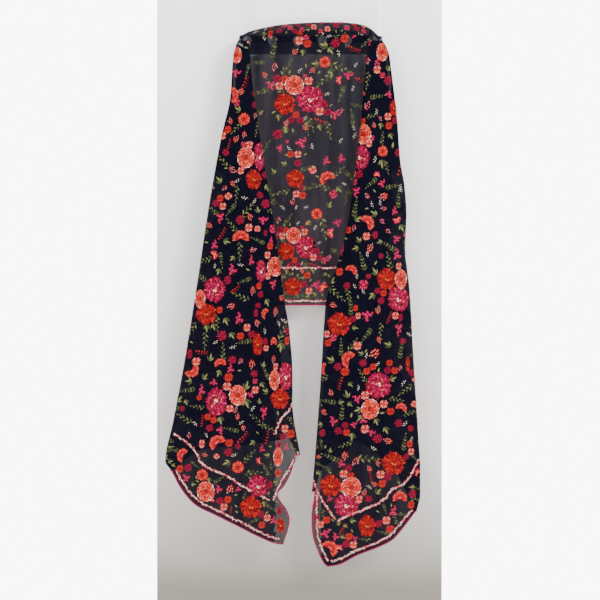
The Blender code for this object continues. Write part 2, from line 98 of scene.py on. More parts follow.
# Grid of the fine sheets
ROWS_TO_SLIT = 132
ROWS_BELOW_SLIT = 44
TUCKED_COLUMNS = 30
FRONT_COLUMNS = 44
RETURN_COLUMNS = 30
REAR_COLUMNS = 16
FOLD_STEPS = 6
CENTRE_COLUMNS = 64
TOP_COLUMNS = 84
ROLL_ROWS = 60
PIPING_SIDES = 10

# Picture pixels of the photograph that the flower tables are read in
PIXEL = 2.4
PIXEL_X = 310.0
PIXEL_Y = 33.0

LEFT = {
    "outer_fold": {
        "drop": (0, 26, 65, 146, 247, 420, 612, 785, 938, 1030, 1051),
        "x": (-166, -180, -187, -192, -214, -245, -274, -302, -331, -349, -336),
    },
    "inner_fold": {
        "drop": (0, 65, 281, 473, 653, 710, 826, 888, 1013),
        "x": (-148, -144, -115, -84, -60, -50, -42, -42, -24),
    },
    "free_edge": {
        "drop": (1013, 1087, 1109, 1150, 1169, 1229),
        "x": (-24, -62, -79, -55, -50, -65),
    },
    "end_hem": {
        "x": (-336, -311, -274, -226, -175, -127, -79, -65),
        "drop": (1051, 1092, 1133, 1157, 1182, 1207, 1227, 1229),
    },
    "tucked_hem": {
        "x": (-336, -262, -226, -151, -60),
        "drop": (1051, 1001, 996, 989, 975),
    },
    "return_hem": {
        "x": (-24, -90, -160, -235),
        "drop": (1013, 890, 770, 653),
    },
}
RIGHT = {
    "outer_fold": {
        "drop": (0, 46, 84, 142, 209, 305, 362, 430, 516, 612, 785, 977, 1044, 1111, 1150),
        "x": (170, 192, 197, 204, 211, 218, 228, 233, 230, 240, 250, 262, 266, 266, 257),
    },
    "inner_fold": {
        "drop": (0, 46, 238, 458, 535, 650, 833, 1008, 1102),
        "x": (148, 139, 120, 91, 72, 38, 26, 13, 5),
    },
    "free_edge": {
        "drop": (1102, 1178, 1205, 1243, 1277, 1282),
        "x": (5, 5, 7, 19, 36, 43),
    },
    "end_hem": {
        "x": (257, 218, 197, 170, 113, 67, 43),
        "drop": (1150, 1195, 1217, 1231, 1253, 1277, 1282),
    },
    "tucked_hem": {
        "x": (257, 216, 149, 90, 30),
        "drop": (1150, 1068, 1001, 970, 950),
    },
    "return_hem": {
        "x": (5, 22, 101, 205),
        "drop": (1102, 1061, 989, 653),
    },
}
SOFT_FOLDS = {
    "x_top": (-150, -176, -150, -205, -120, 150, 186, 160, 196, 6, -40, 60),
    "drop_top": (60, 120, 330, 420, 560, 60, 110, 420, 640, 250, 330, 120),
    "x_low": (-170, -270, -102, -250, -128, 100, 170, 60, 130, 12, -30, 44),
    "drop_low": (640, 1080, 1140, 1120, 1160, 700, 1150, 1200, 1200, 660, 660, 560),
    "half_width": (26, 30, 13, 24, 15, 22, 30, 26, 24, 12, 20, 26),
    "height": (7, -6, 9, 6, -8, 7, -7, 8, -6, 5, -4, 3),
}
ROLL = {
    "x": (-166, -148, -115, -60, 0, 40, 72, 110, 134, 148, 170),
    "height": (11, 17, 26, 35, 39, 40, 40, 37, 32, 25, 9),
}
ROLL_SECTION = {
    "depth": (48.5, 44.0, 40.5, 36.5, 31.0, 26.0, 20.5, 15.5, 13.0),
    "share": (0.0, 0.0, 0.22, 0.66, 0.93, 1.00, 0.90, 0.55, 0.0),
    "below": (0.0, 2.2, 0.0, 0.0, 0.0, 0.0, 0.0, 0.0, 1.5),
}
ROLL_CURL = {
    "depth": (15.0, 22.0, 32.0, 36.5, 33.0, 24.0),
    "drop": (2.9, 3.1, 3.1, 1.6, -0.2, -0.4),
}

THREADS = {
    "coral": (0.36, 0.017, 0.012), "peach": (0.52, 0.050, 0.032), "blush": (0.66, 0.150, 0.105),
    "cream": (0.80, 0.68, 0.58), "orange": (0.36, 0.013, 0.003), "red_orange": (0.25, 0.0055, 0.0035),
    "red": (0.115, 0.002, 0.005), "crimson": (0.150, 0.0015, 0.012), "magenta": (0.205, 0.0016, 0.032),
    "rose_pink": (0.42, 0.010, 0.072), "deep": (0.015, 0.001, 0.003), "green": (0.050, 0.056, 0.017),
    "light_green": (0.160, 0.168, 0.058), "dark_green": (0.018, 0.022, 0.009),
    "brown": (0.050, 0.014, 0.009), "yellow": (0.70, 0.240, 0.030),
}
THREAD_NAMES = tuple(THREADS)

# Outlines of a stitch of unit length and width: shares along it and half widths across it
LEAF, PETAL, DISC, LINE = range(4)
ALONG = np.array([
    (0.0, 0.22, 0.50, 0.80, 1.0, 0.80, 0.50, 0.22),
    (0.0, 0.30, 0.68, 0.93, 1.0, 0.93, 0.68, 0.30),
    (0.0, 0.146, 0.5, 0.854, 1.0, 0.854, 0.5, 0.146),
    (0.0, 0.12, 0.5, 0.88, 1.0, 0.88, 0.5, 0.12),
])
ACROSS = np.array([
    (0.0, 0.72, 1.0, 0.55, 0.0, -0.55, -1.0, -0.72),
    (0.0, 0.55, 1.0, 0.75, 0.0, -0.75, -1.0, -0.55),
    (0.0, 0.707, 1.0, 0.707, 0.0, -0.707, -1.0, -0.707),
    (0.0, 0.9, 1.0, 0.9, 0.0, -0.9, -1.0, -0.9),
]) / 2
RIM = 8
RIM_HEIGHT = 0.12
WHORL_SLANT = 0.45
GOLDEN_ANGLE = 2.39996
LEVEL_HEIGHT = 0.35
UNDERSIDE_SHARE = 0.7
STEM_HEIGHT = 0.25
RAGGED_RATES = (2.4, 5.1)
SPIRAL_OVERLAP = 0.1
SPIRAL_RAISED = 0.6
SQUEEZED_WIDTH = 0.6
SURFACE_STEP = 0.5


def smooth_step(low, high, value):
    """Rise from 0 at low to 1 at high, level at both ends."""
    share = np.clip((np.asarray(value, dtype=float) - low) / (high - low), 0.0, 1.0)
    return share * share * (3.0 - 2.0 * share)


def smooth_curve(places, values, where):
    """Read a smooth curve through the table's points that never overshoots them."""
    places = np.asarray(places, dtype=float)
    values = np.asarray(values, dtype=float)
    gaps = np.diff(places)
    slopes = np.diff(values) / gaps
    tangents = np.zeros(len(places))
    tangents[0] = slopes[0]
    tangents[-1] = slopes[-1]
    before, after = slopes[:-1], slopes[1:]
    same = before * after > 0
    tangents[1:-1][same] = (2.0 * before * after)[same] / (before + after)[same]
    where = np.clip(np.asarray(where, dtype=float), places[0], places[-1])
    cell = np.clip(np.searchsorted(places, where, side="right") - 1, 0, len(gaps) - 1)
    share = (where - places[cell]) / gaps[cell]
    rise = values[cell + 1] - values[cell]
    start = tangents[cell] * gaps[cell] - rise
    finish = rise - tangents[cell + 1] * gaps[cell]
    return values[cell] + rise * share + (start * (1 - share) + finish * share) * share * (1 - share)


def x_of_pixel(x):
    """Millimetres across from picture pixels."""
    return (np.asarray(x) - PIXEL_X) * PIXEL


def drop_of_pixel(y):
    """Drop in millimetres from picture pixels."""
    return (np.asarray(y) - PIXEL_Y) * PIXEL


def x_at(line, drop):
    """Read the x of a line that runs down the cloth."""
    return smooth_curve(line["drop"], line["x"], drop)


def leaf_pitch(drop):
    """Depth from one leaf of a bundle to the next."""
    return LEAF_PITCH_TOP + (LEAF_PITCH_LOW - LEAF_PITCH_TOP) * smooth_step(0.0, PITCH_FULL_DROP, drop)


def ripple(x, drop):
    """Depth that the soft folds add at one place, shared by every leaf there."""
    total = np.zeros(np.broadcast(x, drop).shape)
    for x_top, drop_top, x_low, drop_low, half_width, height in zip(*SOFT_FOLDS.values()):
        share = np.clip((drop - drop_top) / (drop_low - drop_top), 0.0, 1.0)
        offset = (x - x_top - (x_low - x_top) * share) / half_width
        total = total + height * np.exp(-offset * offset) * np.sin(math.pi * share) ** RIPPLE_ENDS
    return total * smooth_step(RIPPLE_START_DROP, RIPPLE_FULL_DROP, drop)


def cloth_place(x, drop, leaf):
    """Place points of the cloth: leaf 0 is the middle and rear, 1 returns, 2 is tucked, 3 is front."""
    depth = CENTRE_DEPTH + leaf * leaf_pitch(drop) + ripple(x, drop)
    return np.stack(np.broadcast_arrays(x, depth, drop), axis=-1).astype(float)


def world(points):
    """Points (x, depth, drop) in millimetres as metres in the frame."""
    points = np.asarray(points)
    height = PEG_AXIS_DROP - PEG_AXIS_BELOW_DOOR_TOP - points[..., 2]
    return np.stack([points[..., 0], -points[..., 1], height], axis=-1) * MM


def coons(left, right, top, bottom, v, u):
    """Fill a four-sided patch from its boundary points, rows at shares v and columns at shares u."""
    v = np.asarray(v)[:, None, None]
    u = np.asarray(u)[None, :, None]
    sides = (1 - u) * left[:, None] + u * right[:, None]
    ends = (1 - v) * top[None] + v * bottom[None]
    corners = (1 - v) * ((1 - u) * left[0] + u * right[0]) + v * ((1 - u) * left[-1] + u * right[-1])
    return sides + ends - corners


def straight(start, finish, shares):
    """Points of a straight boundary."""
    return start + (finish - start) * np.asarray(shares)[:, None]


def through(points, shares):
    """Points of a smooth line through points, at shares of its length."""
    points = np.asarray(points, dtype=float)
    lengths = np.concatenate([[0.0], np.cumsum(np.linalg.norm(np.diff(points, axis=0), axis=1))])
    lengths = lengths / lengths[-1]
    return np.stack([smooth_curve(lengths, column, shares) for column in points.T], axis=-1)


class Fall:
    """The folded end of the cloth on one side of the rack."""

    def __init__(self, table, side):
        self.table = table
        self.side = side
        self.slit = table["free_edge"]["drop"][0]
        self.corner = table["free_edge"]["drop"][-1]
        self.hem_start = table["outer_fold"]["drop"][-1]

    def outer(self, drop):
        """Silhouette of the outer fold."""
        return x_at(self.table["outer_fold"], drop)

    def inner(self, drop):
        """Silhouette of the inner fold, and of the free edge below the slit."""
        folded = x_at(self.table["inner_fold"], drop)
        return np.where(drop <= self.slit, folded, x_at(self.table["free_edge"], drop))

    def outer_start(self, drop):
        """Where the front leaf turns into the outer fold."""
        return self.outer(drop) - self.side * leaf_pitch(drop) / 2

    def inner_start(self, drop):
        """Where the front leaf turns into the inner fold."""
        folded = 1.0 - smooth_step(self.slit, self.slit + SLIT_EASE, drop)
        return self.inner(drop) + self.side * leaf_pitch(drop) * folded

    def hidden_start(self, drop):
        """Where the return leaf turns back into the rear leaf."""
        lower = smooth_step(0.0, CENTRE_HEM_DROP, drop)
        inset = HIDDEN_INSET_TOP + (HIDDEN_INSET_LOW - HIDDEN_INSET_TOP) * lower
        return self.outer(drop) - self.side * (inset + leaf_pitch(drop) / 2)

    def seam(self, drop):
        """Line where the rear leaf meets the middle of the cloth."""
        lower = smooth_step(0.0, PITCH_FULL_DROP, drop)
        return self.inner(drop) + self.side * (SEAM_INSET_TOP + (SEAM_INSET_LOW - SEAM_INSET_TOP) * lower)

    def tucked_edge(self, drop):
        """Free edge of the tucked leaf, laid out flat."""
        hem_x = self.table["tucked_hem"]["x"][-1]
        hem_drop = self.table["tucked_hem"]["drop"][-1]
        lower = smooth_step(LEAF_TOP_DROP, hem_drop, drop)
        clear = TUCKED_EDGE_CLEAR + (abs(hem_x - self.inner(hem_drop)) - TUCKED_EDGE_CLEAR) * lower
        return self.inner(drop) + self.side * clear

    def front(self, x, drop):
        """The front leaf in space."""
        start, finish = self.outer_start(drop), self.inner_start(drop)
        u = np.clip((x - start) / (finish - start), 0.0, 1.0)
        place = cloth_place(x, drop, 3)
        bulge = FRONT_BULGE * smooth_step(BULGE_START_DROP, BULGE_FULL_DROP, drop)
        place[..., 1] += bulge * 4 * u * (1 - u)
        return place

    def tucked(self, x, drop):
        """The tucked leaf in space. At the pegs it runs straight back and closes the side."""
        start = self.outer_start(drop)
        width = np.maximum(np.abs(self.tucked_edge(drop) - start), 1.0)
        share = np.clip(self.side * (start - x) / width, 0.0, 1.0)
        turned = 1.0 - smooth_step(TUCKED_START_DROP, TUCKED_FULL_DROP, drop)
        x = x + (start + self.side * TUCKED_LEAN * share - x) * turned
        place = cloth_place(x, drop, 2)
        back = 1.0 - smooth_step(LEAF_TOP_DROP, GUSSET_LOW_DROP, drop)
        place[..., 1] -= (CENTRE_DEPTH + 2 * leaf_pitch(drop) - ROLL_BACK_DEPTH) * share * back
        lift = (LEAF_TOP_DROP - GUSSET_TOP_DROP) * smooth_step(0.0, LIFT_SHARE, share)
        place[..., 2] -= lift * (1.0 - smooth_step(LEAF_TOP_DROP, LIFT_END_DROP, drop))
        return place

    def surface(self, x, drop):
        """The ribbon in space: x runs on past the front leaf, round its folds and along the next leaf."""
        outer, inner = self.outer_start(drop), self.inner_start(drop)
        past_outer = self.side * (x - outer)
        past_inner = self.side * (inner - x)
        place = self.front(np.where(past_outer > 0, outer, np.where(past_inner > 0, inner, x)), drop)
        for past, start, way, radius, leaf in (
            (past_outer, outer, self.side, leaf_pitch(drop) / 2, self.tucked),
            (past_inner, inner, -self.side, leaf_pitch(drop), lambda x, drop: cloth_place(x, drop, 1)),
        ):
            turn = np.clip(past / radius, 0.0, math.pi)
            place[..., 0] += way * radius * np.sin(turn)
            place[..., 1] -= radius * (1.0 - np.cos(turn))
            beyond = past - math.pi * radius
            flat = leaf(start - way * np.maximum(beyond, 0.0), drop)
            place = np.where((beyond > 0)[..., None], flat, place)
        return place

    def rows(self):
        """Shares of the rows on the inner line, and their drops on the inner and the outer line."""
        upper = np.linspace(0.0, 1.0, ROWS_TO_SLIT + 1)
        lower = np.linspace(0.0, 1.0, ROWS_BELOW_SLIT + 1)[1:]
        shares = np.concatenate([upper * SLIT_SHARE, SLIT_SHARE + lower * (1 - SLIT_SHARE)])
        inner = np.concatenate([
            LEAF_TOP_DROP + (self.slit - LEAF_TOP_DROP) * upper ** ROW_CROWDING,
            self.slit + (self.corner - self.slit) * lower,
        ])
        reach = (inner - LEAF_TOP_DROP) / (self.corner - LEAF_TOP_DROP)
        return shares, inner, LEAF_TOP_DROP + (self.hem_start - LEAF_TOP_DROP) * reach

    def grid(self):
        """Points by row and column of the ribbon's wide part, down to the end hem, and of its narrow part.

        The wide part holds the tucked and the front leaf, the narrow one the return and the rear leaf.
        """
        v, inner_drop, outer_drop = self.rows()
        edge = np.stack([self.outer_start(outer_drop), outer_drop], axis=-1)
        line = np.stack([self.inner_start(inner_drop), inner_drop], axis=-1)
        u = np.linspace(0.0, 1.0, FRONT_COLUMNS + 1)
        hem = through(self.hem("end_hem", edge[-1]), u)
        flat = coons(edge, line, straight(edge[0], line[0], u), hem, v, u)
        front = self.front(flat[..., 0], flat[..., 1])

        u = np.linspace(0.0, 1.0, TUCKED_COLUMNS + 1)
        hem_drop = self.table["tucked_hem"]["drop"][-1]
        free_drop = LEAF_TOP_DROP + (hem_drop - LEAF_TOP_DROP) * v
        free = np.stack([self.tucked_edge(free_drop), free_drop], axis=-1)
        hem = through(self.hem("tucked_hem", edge[-1], free[-1])[::-1], u)
        flat = coons(free, edge, straight(free[0], edge[0], u), hem, v, u)
        tucked = self.tucked(flat[..., 0], flat[..., 1])

        upper = v[:ROWS_TO_SLIT + 1] / SLIT_SHARE
        rear_drop = LEAF_TOP_DROP + (CENTRE_HEM_DROP - LEAF_TOP_DROP) * upper ** ROW_CROWDING
        hidden = np.stack([self.hidden_start(rear_drop), rear_drop], axis=-1)
        u = np.linspace(0.0, 1.0, RETURN_COLUMNS + 1)
        start = line[:ROWS_TO_SLIT + 1]
        hem = through(self.hem("return_hem", start[-1], hidden[-1]), u)
        flat = coons(start, hidden, straight(start[0], hidden[0], u), hem, upper, u)
        back = cloth_place(flat[..., 0], flat[..., 1], 1)

        u = np.linspace(0.0, 1.0, REAR_COLUMNS + 1)
        seam = np.stack([self.seam(rear_drop), rear_drop], axis=-1)
        flat = hidden[:, None] + (seam - hidden)[:, None] * u[None, :, None]
        rear = cloth_place(flat[..., 0], flat[..., 1], 0)

        wide = [tucked, self.fold(tucked[:, -1], front[:, 0], self.side), front]
        narrow = [
            self.fold(front[:ROWS_TO_SLIT + 1, -1], back[:, 0], -self.side),
            back,
            self.fold(back[:, -1], rear[:, 0], self.side),
            rear,
        ]
        return np.concatenate(wide, axis=1), np.concatenate(narrow, axis=1)

    def hem(self, name, first=None, last=None):
        """Points of a hem, its ends moved to where the leaf's own edges are, if those are given."""
        points = list(zip(self.table[name]["x"], self.table[name]["drop"]))
        if first is not None:
            points[0] = tuple(first)
        if last is not None:
            points[-1] = tuple(last)
        return points

    def fold(self, first, last, outward):
        """Half-round fold between two edges."""
        turns = np.linspace(0.0, math.pi, FOLD_STEPS + 1)[1:-1]
        middle = ((first + last) / 2)[:, None]
        radius = np.abs(first[:, 1] - last[:, 1])[:, None] / 2
        arc = middle + (first[:, None] - middle) * np.cos(turns)[None, :, None]
        arc[..., 0] += outward * radius * np.sin(turns)[None]
        return arc


def roll_rows(x, front_depth, corner_radius, curled):
    """Rows of the cloth over the pegs, from the top of the leaf back along the roll."""
    shoulder = SHOULDER_DROP + SHOULDER_DIP * smooth_step(0.0, SHOULDER_DIP_WIDTH, abs(x) - TOP_HALF_WIDTH)
    height = smooth_curve(ROLL["x"], ROLL["height"], x)
    path = [(front_depth, LEAF_TOP_DROP), (front_depth, (LEAF_TOP_DROP + shoulder + corner_radius) / 2)]
    for turn in np.linspace(0.0, math.pi / 2, CORNER_STEPS + 1):
        depth = front_depth - corner_radius * (1.0 - math.cos(turn))
        path.append((depth, shoulder + corner_radius * (1.0 - math.sin(turn))))
    for depth, share, below in zip(*ROLL_SECTION.values()):
        path.append((depth, shoulder - share * height + below))
    if curled:
        path += list(zip(*ROLL_CURL.values()))
    depths = np.stack([np.broadcast_to(depth, x.shape) for depth, drop in path])
    drops = np.stack([np.broadcast_to(drop, x.shape) for depth, drop in path])
    shares = np.linspace(0.0, 1.0, ROLL_ROWS + 1)
    columns = []
    for column in range(len(x)):
        section = through(np.stack([depths[:, column], drops[:, column]], axis=-1), shares)
        columns.append(np.column_stack([np.full(len(shares), x[column]), section]))
    return np.stack(columns, axis=1)


class GridSurface:
    """A sheet read between its grid's points: x across, and lengths along it from its first row."""

    def __init__(self, rows):
        self.rows = rows
        middle = rows[:, rows.shape[1] // 2]
        self.length = np.linalg.norm(np.diff(middle, axis=0), axis=1).sum()

    def surface(self, x, along):
        """Points of the sheet."""
        count, width = self.rows.shape[:2]
        line = np.clip(np.asarray(along) / self.length, 0.0, 1.0) * (count - 1)
        column = np.interp(x, self.rows[0, :, 0], np.arange(width))
        low = np.minimum(line.astype(int), count - 2)
        left = np.minimum(column.astype(int), width - 2)
        v = (line - low)[..., None]
        u = (column - left)[..., None]
        upper = self.rows[low, left] * (1 - u) + self.rows[low, left + 1] * u
        lower = self.rows[low + 1, left] * (1 - u) + self.rows[low + 1, left + 1] * u
        return upper * (1 - v) + lower * v


def middle_surface(x, drop):
    """The single leaf between the bundles, and the rear leaves that run on from it."""
    return cloth_place(x, drop, 0)


def grid_faces(rows, columns, start=0):
    """Corner numbers of a grid's faces."""
    corner = start + np.arange(rows - 1)[:, None] * columns + np.arange(columns - 1)[None]
    return np.stack([corner, corner + columns, corner + columns + 1, corner + 1], axis=-1).reshape(-1, 4)


def new_object(name, points, faces, material_slots, face_slots=None):
    """A smooth-shaded mesh object from points in the frame."""
    mesh = bpy.data.meshes.new(name)
    faces = np.asarray(faces, dtype=np.int32)
    sides = faces.shape[1]
    mesh.vertices.add(len(points))
    mesh.vertices.foreach_set("co", np.asarray(points, dtype=np.float32).ravel())
    mesh.loops.add(faces.size)
    mesh.loops.foreach_set("vertex_index", faces.ravel())
    mesh.polygons.add(len(faces))
    mesh.polygons.foreach_set("loop_start", np.arange(len(faces), dtype=np.int32) * sides)
    for material in material_slots:
        mesh.materials.append(material)
    if face_slots is not None:
        mesh.polygons.foreach_set("material_index", np.asarray(face_slots, dtype=np.int32))
    mesh.update(calc_edges=True)
    mesh.validate()
    mesh.shade_smooth()
    thing = bpy.data.objects.new(name, mesh)
    bpy.context.scene.collection.objects.link(thing)
    return thing


def sheet_object(name, grids, links, material_slots, first_slots=None):
    """A cloth sheet from grids of points; links are pairs of lines of corner numbers to join.

    first_slots gives the material slot of each face of the first grid.
    """
    points = np.concatenate([grid.reshape(-1, 3) for grid in grids])
    faces = []
    start = 0
    for grid in grids:
        faces.append(grid_faces(grid.shape[0], grid.shape[1], start))
        start += grid.shape[0] * grid.shape[1]
    for first, second in links:
        faces.append(np.stack([first[:-1], first[1:], second[1:], second[:-1]], axis=-1))
    faces = np.concatenate(faces)
    slots = np.zeros(len(faces), dtype=np.int32)
    if first_slots is not None:
        slots[:first_slots.size] = first_slots.ravel()
    return new_object(name, world(points), faces, material_slots, slots)


def area_of(thing):
    """Area of an object's mesh in square metres."""
    areas = np.zeros(len(thing.data.polygons))
    thing.data.polygons.foreach_get("area", areas)
    return float(areas.sum())


def piping_object(name, line, material):
    """The round piping along a line of points in millimetres."""
    ahead = np.gradient(line, axis=0)
    ahead /= np.linalg.norm(ahead, axis=1)[:, None]
    across = np.empty_like(line)
    carried = np.cross(ahead[0], (0.0, 1.0, 0.0))
    for index, way in enumerate(ahead):
        carried = carried - way * np.dot(carried, way)
        carried /= np.linalg.norm(carried)
        across[index] = carried
    up = np.cross(ahead, across)
    turns = np.linspace(0.0, 2 * math.pi, PIPING_SIDES + 1)[:-1]
    around = np.cos(turns)[None, :, None] * across[:, None] + np.sin(turns)[None, :, None] * up[:, None]
    points = line[:, None] + around * PIPING_RADIUS
    first = np.arange(len(line) - 1)[:, None] * PIPING_SIDES
    side = np.arange(PIPING_SIDES)[None]
    corner = first + side
    following = first + (side + 1) % PIPING_SIDES
    faces = np.stack([corner, corner + PIPING_SIDES, following + PIPING_SIDES, following], axis=-1)
    return new_object(name, world(points.reshape(-1, 3)), faces.reshape(-1, 4), [material])


# Stitches are rows: x and y of the start, x and y of the end, then these
WIDTH, OUTLINE, THREAD, LEVEL, HEIGHT = range(4, 9)


def line_stitches(starts, ends, width, outline, threads, level, height):
    """Stitches from starts to ends in repeating thread colours."""
    starts = np.atleast_2d(starts)
    rows = np.zeros((len(starts), HEIGHT + 1))
    rows[:, 0:2] = starts
    rows[:, 2:4] = ends
    rows[:, WIDTH] = width
    rows[:, OUTLINE] = outline
    rows[:, THREAD] = [THREAD_NAMES.index(threads[index % len(threads)]) for index in range(len(rows))]
    rows[:, LEVEL] = level
    rows[:, HEIGHT] = height
    return rows


def ring(count, near, far, width, threads, level, height, outline=PETAL, turn=0.0, sweep=360.0, ragged=0.0):
    """Stitches that point outwards round the origin, the first one upwards."""
    angles = np.radians(turn + sweep * ((np.arange(count) + 0.5) / count - 0.5))
    way = np.stack([np.sin(angles), -np.cos(angles)], axis=-1)
    first, second = [np.arange(count) * rate for rate in RAGGED_RATES]
    reach = far * (1.0 + ragged * np.sin(first) * np.cos(second))
    return line_stitches(way * near, way * reach[:, None], width, outline, threads, level, height)


def dot(x, y, radius, name, level, height):
    """A round knot."""
    return line_stitches((x - radius, y), (x + radius, y), 2 * radius, DISC, (name,), level, height)


def whorl(count, radius, length, width, threads, level, height, turn=0.0, slant=WHORL_SLANT):
    """Stitches round the origin, each laid slantwise across its own radius."""
    angles = np.radians(turn + 360.0 * np.arange(count) / count)
    centre = np.stack([np.sin(angles), -np.cos(angles)], axis=-1) * radius
    way = np.stack([np.cos(angles + slant), np.sin(angles + slant)], axis=-1) * length / 2
    return line_stitches(centre - way, centre + way, width, LEAF, threads, level, height)


def spiral(count, reach, length, width, threads, level, height, shrink=0.45):
    """Stitches set as seeds are in a flower head, each pointing outwards, smaller near the heart."""
    index = np.arange(count)
    angles = index * GOLDEN_ANGLE
    far = reach * np.sqrt((index + 0.5) / count)
    grow = 1.0 - shrink * (1.0 - far / reach)
    way = np.stack([np.sin(angles), -np.cos(angles)], axis=-1)
    near = np.maximum(far - length * grow, -SPIRAL_OVERLAP * length)
    rows = line_stitches(way * near[:, None], way * far[:, None], width, PETAL, threads, level, height)
    rows[:, WIDTH] *= grow
    rows[:, LEVEL] += far < reach * SPIRAL_RAISED
    return rows


def arc_points(count, length, bend):
    """Points of a stem from the bottom up, bent sideways."""
    share = np.linspace(0.0, 1.0, count)
    return np.stack([bend * np.sin(math.pi * share / 2) ** 2, length * (0.5 - share)], axis=-1)


def stem(points, width, name):
    """Short stitches along a stem."""
    return line_stitches(points[:-1], points[1:], width, LINE, (name,), 0, STEM_HEIGHT)


def placed(rows, x, y, size=1.0, turn=0.0, squeeze=1.0):
    """Stitches turned counter-clockwise, scaled, squeezed sideways and moved."""
    rows = rows.copy()
    angle = math.radians(turn)
    cos, sin = math.cos(angle) * size, math.sin(angle) * size
    for column in (0, 2):
        across, down = rows[:, column].copy(), rows[:, column + 1].copy()
        rows[:, column] = x + (across * cos + down * sin) * squeeze
        rows[:, column + 1] = y - across * sin + down * cos
    rows[:, WIDTH] *= size * (1 - SQUEEZED_WIDTH + SQUEEZED_WIDTH * squeeze)
    return rows


def peach_rose():
    """Full coral rose with thin pale scalloped edges and a red heart."""
    return np.concatenate([
        ring(13, 0.12, 1.0, 0.42, ("peach", "coral", "peach", "orange", "coral"), 0, 0.5, ragged=0.05),
        spiral(
            30, 0.82, 0.26, 0.20, ("coral", "red", "peach", "coral", "red_orange", "peach", "red"), 1, 0.42,
        ),
        whorl(15, 0.96, 0.46, 0.09, ("blush", "peach", "blush", "cream"), 2, 0.35, 14, 0.3),
        whorl(10, 0.68, 0.44, 0.08, ("blush", "peach"), 4, 0.35, 22, 0.45),
        whorl(8, 0.55, 0.40, 0.08, ("red", "crimson", "coral"), 4, 0.35, 40, 0.25),
        whorl(6, 0.37, 0.34, 0.09, ("blush", "peach", "coral"), 5, 0.35, 15, 0.3),
        whorl(5, 0.24, 0.30, 0.10, ("red", "crimson", "coral"), 5, 0.35, 35, 0.3),
        dot(0.02, 0.04, 0.12, "red_orange", 6, 0.3),
    ])


def magenta_rose():
    """Large ragged rose with pale strokes in its heart."""
    return np.concatenate([
        ring(
            27, 0.12, 1.0, 0.21, ("magenta", "crimson", "magenta", "crimson", "rose_pink"), 0, 0.5,
            ragged=0.11,
        ),
        whorl(15, 0.74, 0.34, 0.06, ("deep", "crimson", "rose_pink"), 4, 0.3, 8),
        whorl(11, 0.50, 0.32, 0.06, ("deep", "magenta", "blush"), 5, 0.3, 20),
        spiral(38, 0.84, 0.27, 0.18, ("magenta", "rose_pink", "deep", "magenta", "crimson"), 1, 0.45),
        spiral(44, 0.92, 0.15, 0.06, ("rose_pink", "deep", "blush", "deep", "crimson"), 3, 0.3, 0.2),
        line_stitches(
            ((-0.10, 0.26), (0.0, 0.24), (0.06, 0.14), (0.14, 0.10), (-0.16, 0.12)),
            ((0.0, 0.06), (0.10, 0.04), (0.14, -0.08), (0.24, -0.06), (-0.04, -0.04)),
            0.07, LINE, ("blush", "cream", "peach"), 5, 0.3,
        ),
    ])


def flame_rose():
    """Ragged orange and red rose with a light centre."""
    return np.concatenate([
        ring(25, 0.12, 1.0, 0.22, ("red_orange", "red", "red_orange", "orange", "red"), 0, 0.5, ragged=0.11),
        whorl(14, 0.74, 0.34, 0.06, ("deep", "red", "orange"), 4, 0.3, 8),
        whorl(10, 0.50, 0.32, 0.06, ("deep", "crimson", "coral"), 5, 0.3, 20),
        spiral(34, 0.82, 0.27, 0.19, ("red_orange", "orange", "deep", "red_orange", "red"), 1, 0.45),
        spiral(40, 0.90, 0.15, 0.06, ("orange", "deep", "coral", "deep", "red"), 3, 0.3, 0.2),
        line_stitches(
            ((-0.14, -0.06), (-0.06, 0.10), (0.08, 0.12), (0.0, -0.04)),
            ((-0.06, 0.10), (0.08, 0.14), (0.18, 0.04), (0.10, -0.08)),
            0.07, LINE, ("yellow", "coral"), 5, 0.3,
        ),
    ])


def daisy(petals, accent, eye):
    """Small flower of narrow separate petals."""
    return np.concatenate([
        dot(0, 0, 0.42, petals[-1], 0, 0.3),
        ring(11, 0.20, 1.0, 0.30, petals, 0, 0.5, ragged=0.14),
        ring(11, 0.60, 0.96, 0.07, (accent, petals[1], petals[0]), 1, 0.25, LINE, 4),
        ring(11, 0.22, 0.62, 0.08, ("deep", petals[-1], "red"), 1, 0.25, LINE, 20),
        whorl(6, 0.30, 0.30, 0.12, petals[::-1], 2, 0.4, 10),
        dot(0, 0, 0.17, eye, 2, 0.4),
    ])


def pinwheel():
    """Red-orange daisy with pale spokes."""
    return np.concatenate([
        ring(13, 0.10, 1.0, 0.40, ("red_orange", "orange", "red_orange"), 0, 0.5, ragged=0.06),
        ring(11, 0.36, 0.92, 0.08, ("blush", "peach", "blush"), 1, 0.35),
        ring(9, 0.12, 0.5, 0.14, ("crimson", "coral"), 2, 0.3, turn=20),
        dot(0, 0, 0.17, "red", 3, 0.4),
    ])


def fan():
    """Half-open flower seen from the side, its tips pale."""
    return np.concatenate([
        ring(15, 0.16, 1.0, 0.26, ("red_orange", "orange", "coral"), 0, 0.5, sweep=215, ragged=0.12),
        ring(15, 0.72, 1.03, 0.09, ("blush", "coral", "peach"), 1, 0.3, sweep=215),
        ring(10, 0.06, 0.62, 0.2, ("red", "magenta", "red_orange"), 1, 0.4, sweep=190, ragged=0.1),
        ring(6, 0.05, 0.38, 0.12, ("peach", "coral"), 2, 0.3, sweep=140),
    ])


def half_rose():
    """Small magenta flower seen from the side, with an orange heart."""
    return np.concatenate([
        ring(11, 0.20, 1.0, 0.34, ("magenta", "rose_pink", "crimson"), 0, 0.5, sweep=240, ragged=0.1),
        ring(9, 0.0, 0.58, 0.22, ("orange", "yellow", "coral"), 1, 0.4, sweep=260),
    ])


def star(petals, eye):
    """Five-petalled flower."""
    return np.concatenate([ring(5, 0.06, 1.0, 0.66, petals, 0, 0.45), dot(0, 0, 0.2, eye, 1, 0.3)])


